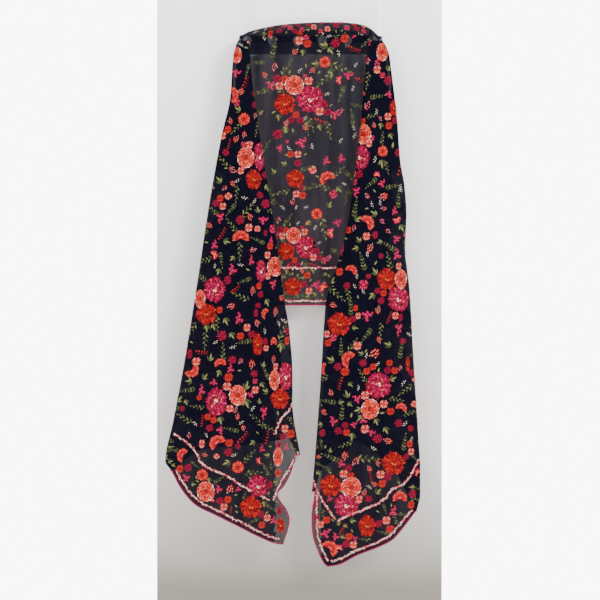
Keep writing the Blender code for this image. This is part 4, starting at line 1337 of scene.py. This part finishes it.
def stitch_object(name, rows, surface, materials, way=1):
    """Domed stitches laid on a sheet, and the underside of the lowest ones on its other face.

    way is 1 where the stitches' y runs down the front of the sheet and -1 where it runs up.
    """
    outline = rows[:, OUTLINE].astype(int)
    step = rows[:, 2:4] - rows[:, 0:2]
    length = np.maximum(np.linalg.norm(step, axis=1), 1e-6)[:, None]
    side = np.stack([-step[:, 1], step[:, 0]], axis=-1) / length
    start, step, side = rows[:, 0:2, None], step[..., None], side[..., None]
    along, across = ALONG[outline][:, None], ACROSS[outline][:, None]
    rim = start + step * along + side * across * rows[:, WIDTH, None, None]
    flat = np.concatenate([rim, start + step / 2], axis=2)
    level = rows[:, LEVEL, None] * LEVEL_HEIGHT
    middle = rows[:, HEIGHT, None]
    lower = rows[:, LEVEL] == 0
    top = np.concatenate([np.repeat(level + RIM_HEIGHT, RIM, axis=1), level + middle], axis=1)
    under_rim = np.full((lower.sum(), RIM), -RIM_HEIGHT)
    under = np.concatenate([under_rim, -UNDERSIDE_SHARE * middle[lower]], axis=1)
    flat = np.concatenate([flat, flat[lower]])
    x, y = flat[:, 0], flat[:, 1]
    height = np.concatenate([top, under])
    thread_slot = np.concatenate([rows[:, THREAD], rows[lower, THREAD]]).astype(int)

    here = surface(x, y)
    step_x = surface(x + SURFACE_STEP, y) - here
    step_y = surface(x, y + SURFACE_STEP) - here
    normal = np.cross(step_y, step_x)
    normal /= np.maximum(np.linalg.norm(normal, axis=-1), 1e-9)[..., None]
    points = here + way * normal * height[..., None]
    count = len(points)
    first = np.arange(count)[:, None] * (RIM + 1)
    rim = np.arange(RIM)[None]
    top_corner = np.broadcast_to(first + RIM, (count, RIM))
    faces = np.stack([first + rim, first + (rim + 1) % RIM, top_corner], axis=-1)
    faces[len(rows):] = faces[len(rows):, :, ::-1]
    slots = np.repeat(thread_slot, RIM)
    return new_object(name, world(points.reshape(-1, 3)), faces.reshape(-1, 3), materials, slots)


OUTSIDE = -1.0


def distance_to(line_x, line_y, x, y):
    """Distance of a point from a line of points."""
    start = np.stack([line_x[:-1], line_y[:-1]], axis=-1)
    step = np.stack([line_x[1:], line_y[1:]], axis=-1) - start
    offset = np.array([x, y]) - start
    share = np.clip((offset * step).sum(axis=1) / (step * step).sum(axis=1), 0.0, 1.0)
    return np.linalg.norm(offset - step * share[:, None], axis=1).min()


def inside_polygon(line_x, line_y, x, y):
    """Whether a point is inside a closed line of points."""
    next_x, next_y = np.roll(line_x, -1), np.roll(line_y, -1)
    crossing = (line_y > y) != (next_y > y)
    level = (next_x - line_x) * (y - line_y) / np.where(next_y == line_y, 1e-9, next_y - line_y) + line_x
    return np.count_nonzero(crossing & (x < level)) % 2 == 1


def region_of(outline):
    """A function for how far a point inside an outline is from its lines; a straight top closes them."""
    polygon = np.concatenate(outline)

    def room(x, y):
        if not inside_polygon(polygon[:, 0], polygon[:, 1], x, y):
            return OUTSIDE
        return min(distance_to(line[:, 0], line[:, 1], x, y) for line in outline)

    return room


def offset_line(points, distance):
    """A line moved sideways, to the right of its own direction as the viewer sees it."""
    points = np.asarray(points, dtype=float)
    ahead = np.gradient(points, axis=0)
    ahead /= np.linalg.norm(ahead, axis=1)[:, None]
    return points + np.stack([-ahead[:, 1], ahead[:, 0]], axis=-1) * distance


OUTLINE_SHARES = np.linspace(0.0, 1.0, 40)
LACE_END_REACH = 40.0
# Where the single flap beside each front leaf starts, and to which side it lies
FLAPS = {"left": (-84.0, 1), "right": (26.0, -1)}
SHEER, HALF_SHEER_SHADE, DENSE = range(3)
# Insets of the lace from a hem, and how far the border and the shown part of a bundle reach
OUTER_LACE = 11.0
INNER_LACE = 90.0
LACE_SLACK = 5.0
LACE_LEAST_POINTS = 4
BORDER_CLEAR = 6.0
OUTER_SHOWS = 20.0
INNER_SHOWS = 14.0
MIDDLE_SHOWS = 16.0
MIDDLE_LACE_DROPS = (563.0, 643.0)
MIDDLE_LACE_INSET = 8.0
MIDDLE_LACE_POINTS = 30
MIDDLE_TOP_DROP = -1.0
MIDDLE_HEM_CLEAR = 3.0
ROLL_EDGE = 3.0
ROLL_HIDDEN_END = 30.0


def front_boundary(fall):
    """Hems of a bundle, and its outline with the other leaves laid out flat beside the front leaf."""
    side = fall.side

    def beside_outer(points):
        start = fall.outer_start(points[:, 1])
        past = math.pi * leaf_pitch(points[:, 1]) / 2 + np.abs(start - points[:, 0])
        return np.stack([start + side * past, points[:, 1]], axis=-1)

    def beside_inner(points):
        start = fall.inner_start(points[:, 1])
        past = math.pi * leaf_pitch(points[:, 1]) + np.abs(points[:, 0] - start)
        return np.stack([start - side * past, points[:, 1]], axis=-1)

    def down(line, start, finish):
        drop = np.linspace(start, finish, len(OUTLINE_SHARES))
        return np.stack([line(drop), drop], axis=-1)

    tucked_hem = through(fall.hem("tucked_hem"), OUTLINE_SHARES)
    end_hem = through(fall.hem("end_hem"), OUTLINE_SHARES)
    return_hem = through(fall.hem("return_hem"), OUTLINE_SHARES)
    free_edge = down(fall.inner, fall.slit, fall.corner)
    tucked_edge = down(fall.tucked_edge, LEAF_TOP_DROP, fall.table["tucked_hem"]["drop"][-1])
    hidden = down(fall.hidden_start, CENTRE_HEM_DROP, LEAF_TOP_DROP)
    return {
        "tucked_hem": tucked_hem,
        "end_hem": end_hem,
        "free_edge": free_edge,
        "return_hem": return_hem,
        "beside_outer": beside_outer,
        "beside_inner": beside_inner,
        "outline": [
            beside_outer(tucked_edge),
            beside_outer(tucked_hem[::-1]),
            end_hem,
            free_edge[::-1],
            beside_inner(return_hem),
            beside_inner(hidden),
        ],
    }


def embroider_fall(fall, tables, lace, seed):
    """All the embroidery of one bundle, in the plane of its front leaf carried on past the folds."""
    work = Embroidery(seed)
    shape = front_boundary(fall)
    outline = shape["outline"]
    region = region_of(outline)
    side = fall.side
    for line in lace.values():
        work.lace(x_of_pixel(line["x"]), drop_of_pixel(line["y"]))
    hem = offset_line(shape["end_hem"], side * OUTER_LACE)
    work.lace(hem[1:-1, 0], hem[1:-1, 1])
    if side > 0:
        free = offset_line(shape["free_edge"], -OUTER_LACE)
        work.lace(free[2:-1, 0], free[2:-1, 1])
    for name, carry, insets in (
        ("tucked_hem", "beside_outer", (OUTER_LACE,)),
        ("return_hem", "beside_inner", (OUTER_LACE, INNER_LACE)),
    ):
        for inset in insets:
            line = shape[carry](offset_line(shape[name], side * inset))
            keep = np.array([region(x, y) > OUTER_LACE - LACE_SLACK for x, y in line])
            if keep.sum() >= LACE_LEAST_POINTS:
                work.lace(line[keep, 0], line[keep, 1])
    for table in tables:
        work.add_table(table)
    points = np.concatenate(outline)
    box = (points[:, 0].min(), LEAF_TOP_DROP, points[:, 0].max(), points[:, 1].max())

    def border(x, y):
        room = region(x, y)
        near = min(distance_to(line[:, 0], line[:, 1], x, y) for line in outline[1:5])
        return room if near < INNER_LACE - BORDER_CLEAR else OUTSIDE

    def hidden_part(x, y):
        past_outer, past_inner = side * (x - fall.outer_start(y)), side * (fall.inner_start(y) - x)
        return OUTSIDE if past_outer < OUTER_SHOWS and past_inner < INNER_SHOWS else region(x, y)

    work.fill(hidden_part, box, MAIN_MOTIFS, tries=900, gap=14.0)
    work.fill(border, box, BORDER_FILLERS, tries=6000, gap=-2.0)
    work.fill(region, box, FILLERS, tries=8000, gap=1.5)
    work.clip(region)
    return np.concatenate(work.parts)


def embroider_middle(left, right, seed):
    """The embroidery of the middle and of the rear leaves on both sides of it."""
    work = Embroidery(seed)
    drops = np.linspace(MIDDLE_TOP_DROP, CENTRE_HEM_DROP - MIDDLE_HEM_CLEAR, len(OUTLINE_SHARES))
    start = np.stack([left.hidden_start(drops), drops], axis=-1)
    finish = np.stack([right.hidden_start(drops), drops], axis=-1)[::-1]
    region = region_of([start, np.stack([start[-1], finish[0]]), finish])
    for drop in MIDDLE_LACE_DROPS:
        first = left.hidden_start(drop) + MIDDLE_LACE_INSET
        last = right.hidden_start(drop) - MIDDLE_LACE_INSET
        work.lace(np.linspace(first, last, MIDDLE_LACE_POINTS), np.full(MIDDLE_LACE_POINTS, drop))
    work.add_table(MIDDLE_FLOWERS)

    def behind_falls(x, y):
        shown = left.inner(y) - MIDDLE_SHOWS < x < right.inner(y) + MIDDLE_SHOWS
        return OUTSIDE if shown else region(x, y)

    def border(x, y):
        return region(x, y) if y > MIDDLE_LACE_DROPS[0] + BORDER_CLEAR else OUTSIDE

    box = (start[:, 0].min(), LEAF_TOP_DROP, finish[:, 0].max(), CENTRE_HEM_DROP)
    work.fill(behind_falls, box, MAIN_MOTIFS, tries=500, gap=14.0)
    work.fill(behind_falls, box, FILLERS, tries=2500, gap=2.5)
    work.fill(border, box, BORDER_FILLERS, tries=2500, gap=-2.0)
    work.fill(region, box, FILLERS, tries=900, gap=6.0)
    work.clip(region)
    return np.concatenate(work.parts)


def embroider_roll(surface, seed):
    """The embroidery that shows along the bunched upper edge."""
    work = Embroidery(seed)
    for name, rows in ROLL_FLOWERS.items():
        for x, along, size, *turn in rows:
            work.add(name, x_of_pixel(x), along, size, *turn)
    half = TOP_HALF_WIDTH - ROLL_EDGE
    end = surface.length - ROLL_HIDDEN_END

    def region(x, y):
        return min(half - abs(x), y - ROLL_EDGE, end - y)

    work.fill(region, (-half, ROLL_EDGE, half, end), FILLERS, tries=1500, gap=1.0)
    work.clip(region)
    rows = np.concatenate(work.parts)
    length = np.hypot(rows[:, 2] - rows[:, 0], rows[:, 3] - rows[:, 1])
    return rows[length < ROLL_LONGEST_STITCH]


# Flowers on the roll, by motif: x in picture pixels, millimetres along the cloth, size, and turn if not 0
ROLL_FLOWERS = {
    "magenta": (
        (290, 56, 8), (302, 50, 7), (284, 66, 8), (348, 54, 8), (365, 48, 7), (341, 72, 8), (321, 44, 7),
        (333, 72, 7),
    ),
    "crimson": (
        (279, 50, 8), (298, 66, 8), (337, 60, 8), (358, 54, 8), (322, 70, 8), (295, 45, 7), (309, 64, 7),
    ),
    "blush": ((314, 56, 8), (328, 50, 8)),
    "leaves": ((308, 50, 8, 80), (263, 44, 8, -60)),
    "orange": ((270, 46, 7), (300, 40, 7), (355, 68, 7)),
    "leaf": ((343, 46, 7, 60), (286, 44, 7, 20)),
}
ROLL_LONGEST_STITCH = 11.0


def noise_node(nodes, links, place, scale, detail=2.0, stretch=None):
    """A noise pattern read at a place."""
    source = place
    if stretch is not None:
        mapping = nodes.new("ShaderNodeMapping")
        mapping.inputs["Scale"].default_value = stretch
        links.new(place, mapping.inputs["Vector"])
        source = mapping.outputs["Vector"]
    noise = nodes.new("ShaderNodeTexNoise")
    noise.inputs["Scale"].default_value = scale
    noise.inputs["Detail"].default_value = detail
    links.new(source, noise.inputs["Vector"])
    return noise.outputs["Fac"]


def ranged(nodes, links, value, to_low, to_high, low=0.3, high=0.7):
    """A value moved to another range, from low to high, which is where most of a noise lies."""
    node = nodes.new("ShaderNodeMapRange")
    for index, number in enumerate((low, high, to_low, to_high), start=1):
        node.inputs[index].default_value = number
    links.new(value, node.inputs["Value"])
    return node.outputs["Result"]


def bumped(nodes, links, layers):
    """Bump from (height, strength, distance) layers, each on the one before."""
    normal = None
    for height, strength, distance in layers:
        bump = nodes.new("ShaderNodeBump")
        bump.inputs["Strength"].default_value = strength
        bump.inputs["Distance"].default_value = distance
        links.new(height, bump.inputs["Height"])
        if normal is not None:
            links.new(normal, bump.inputs["Normal"])
        normal = bump.outputs["Normal"]
    return normal


def tinted(nodes, links, share, tints, shader):
    """Base colour between two tints."""
    tint = nodes.new("ShaderNodeMix")
    tint.data_type = "RGBA"
    for end, colour in tints.items():
        tint.inputs[end].default_value = (*colour, 1.0)
    links.new(share, tint.inputs["Factor"])
    links.new(tint.outputs["Result"], shader.inputs["Base Color"])


def base_material(name, colour, roughness, specular=0.5):
    """A Principled material, with its nodes, links, shader and object coordinates."""
    material = bpy.data.materials.new(name)
    material.use_nodes = True
    nodes, links = material.node_tree.nodes, material.node_tree.links
    shader = nodes["Principled BSDF"]
    shader.inputs["Base Color"].default_value = (*colour, 1.0)
    shader.inputs["Roughness"].default_value = roughness
    shader.inputs["Specular IOR Level"].default_value = specular
    place = nodes.new("ShaderNodeTexCoord").outputs["Object"]
    return material, nodes, links, shader, place


# Alpha of each cloth where it is thinnest and densest; the spread between them follows the creases as painted
# fold shade
CLOTHS = {
    "georgette": (0.82, 0.90),
    # The half-sheer cloth is painted shade: the front leaves are made denser so that they read as dark as
    # their shade.
    "georgette_half_shade": (0.95, 0.98),
    "georgette_border": (0.97, 0.99),
    "georgette_middle": (0.835, 0.94),
}
# Plain colours, for viewers that read no pattern, and the two tints that each pattern lies between
NAVY = (0.005, 0.005, 0.009)
NAVY_TINTS = {"A": (0.0015, 0.0015, 0.0042), "B": (0.0034, 0.0034, 0.0088)}
MAGENTA = (0.16, 0.002, 0.035)
PIPING_TINTS = {"A": (0.140, 0.0010, 0.028), "B": (0.260, 0.0020, 0.055)}
WHITE_PAINT = (0.92, 0.915, 0.92)
# Painted shade: the rail is given this grey so that it reads as dark as the shade it lies in under the roll.
RAIL_SHADE_GREY = (0.20, 0.20, 0.21)


def georgette_material(name, sheer):
    """Navy crepe: fine crinkle and soft lengthwise creases in its bump, and its sheerness varied between two
    alphas along the creases as painted fold shade.
    """
    material, nodes, links, shader, place = base_material(name, NAVY, 0.8, specular=0.01)
    broad = noise_node(nodes, links, place, scale=26.0, detail=3.0)
    crepe = noise_node(nodes, links, place, scale=1500.0)
    creases_and_shade = noise_node(nodes, links, place, scale=34.0, detail=3.0, stretch=(1.0, 1.0, 0.12))
    tinted(nodes, links, broad, NAVY_TINTS, shader)
    # Alpha follows the creases: painted fold shade, the cloth more opaque and darker along them.
    links.new(ranged(nodes, links, creases_and_shade, *sheer), shader.inputs["Alpha"])
    links.new(bumped(nodes, links, ((creases_and_shade, 0.8, 0.003), (crepe, 0.3, 0.0003))), shader.inputs["Normal"])
    return material


def thread_material(name, colour):
    """Soft embroidery thread with the ribs of its stitches."""
    material, nodes, links, shader, place = base_material(f"thread_{name}", colour, 0.5, specular=0.05)
    ribs = nodes.new("ShaderNodeTexWave")
    ribs.bands_direction = "DIAGONAL"
    ribs.inputs["Scale"].default_value = 420.0
    ribs.inputs["Distortion"].default_value = 6.0
    ribs.inputs["Detail"].default_value = 2.0
    links.new(place, ribs.inputs["Vector"])
    uneven = noise_node(nodes, links, place, scale=700.0)
    links.new(ranged(nodes, links, uneven, 0.40, 0.62), shader.inputs["Roughness"])
    links.new(bumped(nodes, links, ((ribs.outputs["Fac"], 0.55, 0.0004),)), shader.inputs["Normal"])
    return material


def piping_material():
    """Magenta satin piping with a slanting twist."""
    material, nodes, links, shader, place = base_material("piping", MAGENTA, 0.45, specular=0.08)
    twist = noise_node(nodes, links, place, scale=500.0)
    patches = noise_node(nodes, links, place, scale=40.0)
    tinted(nodes, links, patches, PIPING_TINTS, shader)
    links.new(bumped(nodes, links, ((twist, 0.5, 0.0005),)), shader.inputs["Normal"])
    return material


def paint_material(name, colour):
    """Baked paint with a faint orange-peel surface."""
    material, nodes, links, shader, place = base_material(name, colour, 0.35)
    peel = noise_node(nodes, links, place, scale=420.0)
    wear = noise_node(nodes, links, place, scale=60.0, detail=4.0)
    links.new(ranged(nodes, links, wear, 0.28, 0.46), shader.inputs["Roughness"])
    links.new(bumped(nodes, links, ((peel, 0.25, 0.0003),)), shader.inputs["Normal"])
    return material


# Painted shade on the door: share of the way up between two heights, and the door's tint there, darker and
# warmer low down where less light reaches
DOOR_SHADE_TINTS = (
    (0.0, (0.15, 0.138, 0.112)),
    (1.0, (0.95, 0.945, 0.95)),
    (0.24, (0.66, 0.64, 0.62)),
)
DOOR_SHADE_HEIGHTS = (-1.5, -0.05)


def wall_material():
    """White wall that glows evenly and that only its front shows."""
    material = bpy.data.materials.new("white_wall")
    material.use_nodes = True
    nodes, links = material.node_tree.nodes, material.node_tree.links
    nodes.remove(nodes["Principled BSDF"])
    glow = nodes.new("ShaderNodeEmission")
    glow.inputs["Strength"].default_value = WALL_GLOW
    show_front(nodes, links, glow.outputs["Emission"])
    return material


def show_front(nodes, links, shader):
    """Send a shader to the output, clear on the back of each face."""
    side = nodes.new("ShaderNodeNewGeometry")
    clear = nodes.new("ShaderNodeBsdfTransparent")
    mix = nodes.new("ShaderNodeMixShader")
    links.new(side.outputs["Backfacing"], mix.inputs["Fac"])
    links.new(shader, mix.inputs[1])
    links.new(clear.outputs["BSDF"], mix.inputs[2])
    links.new(mix.outputs["Shader"], nodes["Material Output"].inputs["Surface"])


def door_material():
    """Pale door paint that only its front shows, so that the cloth is seen from behind too; its colour is
    painted darker towards the floor as painted shade.
    """
    material, nodes, links, shader, place = base_material("door_paint", (0.80, 0.79, 0.775), 0.5)
    soft = noise_node(nodes, links, place, scale=3.0)
    split = nodes.new("ShaderNodeSeparateXYZ")
    links.new(place, split.inputs["Vector"])
    # The door's base colour darkens with height towards the floor: painted shade, not a change in its paint.
    ramp = nodes.new("ShaderNodeValToRGB")
    elements = [*ramp.color_ramp.elements, ramp.color_ramp.elements.new(0.5)]
    for element, (share, colour) in zip(elements, DOOR_SHADE_TINTS):
        element.position = share
        element.color = (*colour, 1.0)
    links.new(ranged(nodes, links, split.outputs["Z"], 0.0, 1.0, *DOOR_SHADE_HEIGHTS), ramp.inputs["Fac"])
    links.new(ramp.outputs["Color"], shader.inputs["Base Color"])
    links.new(bumped(nodes, links, ((soft, 0.1, 0.002),)), shader.inputs["Normal"])
    show_front(nodes, links, shader.outputs["BSDF"])
    return material


CAMERA_PLACE = (-0.024, -2.235, -0.783)
VIEW_WIDTH = 1.440
VIEW_DISTANCE = 2.150
SENSOR = 36.0
FLOOR_HEIGHT = -1.9
DOOR_LEFT = -0.381
DOOR_RIGHT = 0.330
DOOR_FACE = 0.0008
WALL_FACE = 0.045
WALL_GLOW = 9.0
WALL_HALF_WIDTH = 4.0
WALL_TOP = 2.5
FLOOR_BOX = ((-4.0, -4.0), (4.0, 1.2))
WORLD_STRENGTH = 1.5
# Square lights: name, place, target, size in metres, power in watts
LIGHTS = (
    ("key", (1.7, -2.1, 0.6), (0.0, -0.05, -0.6), 0.9, 95.0),
    ("fill", (-1.5, -2.2, 0.0), (0.0, -0.05, -0.7), 1.6, 30.0),
    ("back", (0.5, 1.9, 0.3), (0.0, 0.0, -0.7), 1.6, 45.0),
)


def quad_object(name, corners, material):
    """A flat stage surface that lets the light from behind reach the back of the cloth."""
    mesh = bpy.data.meshes.new(name)
    mesh.from_pydata(corners, [], [(0, 1, 2, 3)])
    mesh.materials.append(material)
    thing = bpy.data.objects.new(name, mesh)
    thing.visible_shadow = False
    bpy.context.scene.collection.objects.link(thing)


def add_light(name, place, target, size, power):
    """A square soft light turned to a target."""
    lamp = bpy.data.lights.new(name, "AREA")
    lamp.size = size
    lamp.energy = power
    thing = bpy.data.objects.new(name, lamp)
    x, y, z = np.array(target) - np.array(place)
    thing.location = place
    thing.rotation_euler = (math.atan2(math.hypot(x, y), -z), 0.0, math.atan2(-x, y))
    bpy.context.scene.collection.objects.link(thing)


def build_stage():
    """Door face, floor, lights, world and camera."""
    scene = bpy.context.scene
    for name, material, low_x, high_x, y, top in (
        ("door_face", door_material(), DOOR_LEFT, DOOR_RIGHT, DOOR_FACE, 0.0),
        ("wall", wall_material(), -WALL_HALF_WIDTH, WALL_HALF_WIDTH, WALL_FACE, WALL_TOP),
    ):
        quad_object(name, [
            (low_x, y, FLOOR_HEIGHT), (high_x, y, FLOOR_HEIGHT), (high_x, y, top), (low_x, y, top),
        ], material)
    floor_material, nodes, links, shader, place = base_material("floor", (0.80, 0.79, 0.77), 0.6)
    grain = noise_node(nodes, links, place, scale=8.0)
    links.new(ranged(nodes, links, grain, 0.55, 0.68), shader.inputs["Roughness"])
    (low_x, low_y), (high_x, high_y) = FLOOR_BOX
    quad_object("floor", [
        (low_x, low_y, FLOOR_HEIGHT), (high_x, low_y, FLOOR_HEIGHT),
        (high_x, high_y, FLOOR_HEIGHT), (low_x, high_y, FLOOR_HEIGHT),
    ], floor_material)
    for light in LIGHTS:
        add_light(*light)
    studio = bpy.data.worlds.new("studio")
    studio.use_nodes = True
    background = studio.node_tree.nodes["Background"]
    background.inputs["Color"].default_value = (1.0, 1.0, 1.0, 1.0)
    background.inputs["Strength"].default_value = WORLD_STRENGTH
    scene.world = studio
    lens = bpy.data.cameras.new("camera")
    lens.sensor_width = SENSOR
    lens.lens = SENSOR * VIEW_DISTANCE / VIEW_WIDTH
    camera = bpy.data.objects.new("camera", lens)
    camera.location = CAMERA_PLACE
    camera.rotation_euler = (math.pi / 2, 0.0, 0.0)
    scene.collection.objects.link(camera)
    scene.camera = camera


# Width and length in metres that each sheet was cut to
FLAT_FALL = (0.62, 1.27)
FLAT_MIDDLE = (0.31, 0.65)
FLAT_TOP = (0.30, 0.16)
SEEDS = {"left": 11, "right": 23, "middle": 37, "top": 41}


def declare(sheet, node, flat, layers, piping=None, piping_node=None):
    """Attach a sheet and the pieces sewn on it to the root body, and hide the CAD nodes that they replace."""
    pieces = layers if piping is None else [*layers, piping]
    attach(sheet, "root")
    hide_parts(node)
    for piece in pieces:
        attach(piece, "root")
    area = min(area_of(sheet), flat[0] * flat[1])
    if piping is not None:
        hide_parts(piping_node)


def front_cloth(wide, first, last, lace, flap):
    """Material slot of each face of a bundle's grid: sheer, half sheer or dense.

    The gathers by the pegs are dense, and so is the border below the inner line of lace. The rest
    of the front leaf is half sheer, which is painted shade that darkens it, but for the single flap.
    """
    x = (wide[:-1, :-1, 0] + wide[1:, 1:, 0]) / 2
    drop = (wide[:-1, :-1, 2] + wide[1:, 1:, 2]) / 2
    lace_x, lace_drop = x_of_pixel(lace["x"]), drop_of_pixel(lace["y"])
    order = np.argsort(lace_x)
    below = drop > np.interp(x, lace_x[order], lace_drop[order])
    inside = (x > lace_x.min() - LACE_END_REACH) & (x < lace_x.max() + LACE_END_REACH)
    column = np.arange(x.shape[1])[None]
    front = (column >= first) & (column < last)
    flap_x, way = flap
    folded = front & ((x - flap_x) * way <= 0)
    # Half sheer on the folded front leaf is painted shade.
    slots = np.where(folded, HALF_SHEER_SHADE, SHEER)
    slots = np.where(folded & below & inside, DENSE, slots)
    return np.where(drop < TUCKED_FULL_DROP, DENSE, slots)


def build_fall(name, fall, tables, lace, cloth, trim, threads):
    """One bundle: its sheet, embroidery and piping."""
    wide, narrow = fall.grid()
    first = TUCKED_COLUMNS + FOLD_STEPS
    last = first + FRONT_COLUMNS
    top = wide[0, first:last + 1]
    strip = roll_rows(top[:, 0], top[:, 1], FALL_CORNER_RADIUS, False)
    slit = ROWS_TO_SLIT + 1
    wide_line = np.arange(slit) * wide.shape[1] + last
    narrow_line = wide.shape[0] * wide.shape[1] + np.arange(slit) * narrow.shape[1]
    slots = front_cloth(wide, first, last, lace["inner"], FLAPS[name])
    sheet = sheet_object(f"sheet_{name}", [wide, narrow, strip], [(wide_line, narrow_line)], cloth, slots)
    edge = np.concatenate([
        wide[-1, :last + 1],
        wide[-2:ROWS_TO_SLIT:-1, last],
        wide[ROWS_TO_SLIT, last:last + 1],
        narrow[ROWS_TO_SLIT],
    ])
    piping = piping_object(f"trim_{name}", edge, trim)
    rows = embroider_fall(fall, tables, lace, SEEDS[name])
    raised = rows[:, LEVEL] > 0
    layers = [
        stitch_object(f"embroidery_{name}", rows[~raised], fall.surface, threads),
        stitch_object(f"embroidery_{name}_raised", rows[raised], fall.surface, threads),
    ]
    declare(sheet, f"cloth_{name}_fall", FLAT_FALL, layers, piping, f"piping_{name}")


def build_middle(left, right, cloth, trim, threads):
    """The single leaf between the bundles."""
    share = np.linspace(0, 1, ROWS_TO_SLIT + 1) ** ROW_CROWDING
    drops = LEAF_TOP_DROP + (CENTRE_HEM_DROP - LEAF_TOP_DROP) * share
    start, finish = left.seam(drops), right.seam(drops)
    x = start[:, None] + (finish - start)[:, None] * np.linspace(0.0, 1.0, CENTRE_COLUMNS + 1)[None]
    middle = middle_surface(x, drops[:, None])
    sheet = sheet_object("sheet_middle", [middle], [], [cloth[-1]])
    piping = piping_object("trim_middle", middle[-1], trim)
    rows = embroider_middle(left, right, SEEDS["middle"])
    stitches = stitch_object("embroidery_middle", rows, middle_surface, threads)
    declare(sheet, "cloth_middle", FLAT_MIDDLE, [stitches], piping, "piping_middle")


def build_top(cloth, threads):
    """The cloth over the pegs, with its bunched edge."""
    reach = TOP_HALF_WIDTH + LEAF_PITCH_TOP
    x = np.linspace(-reach, reach, TOP_COLUMNS + 1)
    top = roll_rows(x, np.full(len(x), CENTRE_DEPTH), TOP_CORNER_RADIUS, True)
    sheet = sheet_object("sheet_top", [top], [], [cloth[0]])
    surface = GridSurface(top)
    rows = embroider_roll(surface, SEEDS["top"])
    stitches = stitch_object("embroidery_top", rows, surface.surface, threads, -1)
    declare(sheet, "cloth_top_roll", FLAT_TOP, [stitches])


def main():
    cloth = [georgette_material(name, sheer) for name, sheer in CLOTHS.items()]
    trim = piping_material()
    paint = paint_material("white_paint_fine", WHITE_PAINT)
    # The rail's grey is painted shade from the roll above it, not the colour of its paint.
    rail_shade_paint = paint_material("rail_painted_shade_fine", RAIL_SHADE_GREY)
    threads = [thread_material(name, colour) for name, colour in THREADS.items()]
    for name, thing in frame["nodes"].items():
        if not name.startswith(("cloth", "piping")):
            for slot in thing.material_slots:
                slot.material = rail_shade_paint if name == "rail" else paint

    left, right = Fall(LEFT, -1), Fall(RIGHT, 1)
    build_fall("left", left, (LEFT_FLOWERS, LEFT_LOW_FLOWERS), LEFT_LACE, cloth, trim, threads)
    build_fall("right", right, (RIGHT_FLOWERS,), RIGHT_LACE, cloth, trim, threads)
    build_middle(left, right, cloth, trim, threads)
    build_top(cloth, threads)
    build_stage()


main()
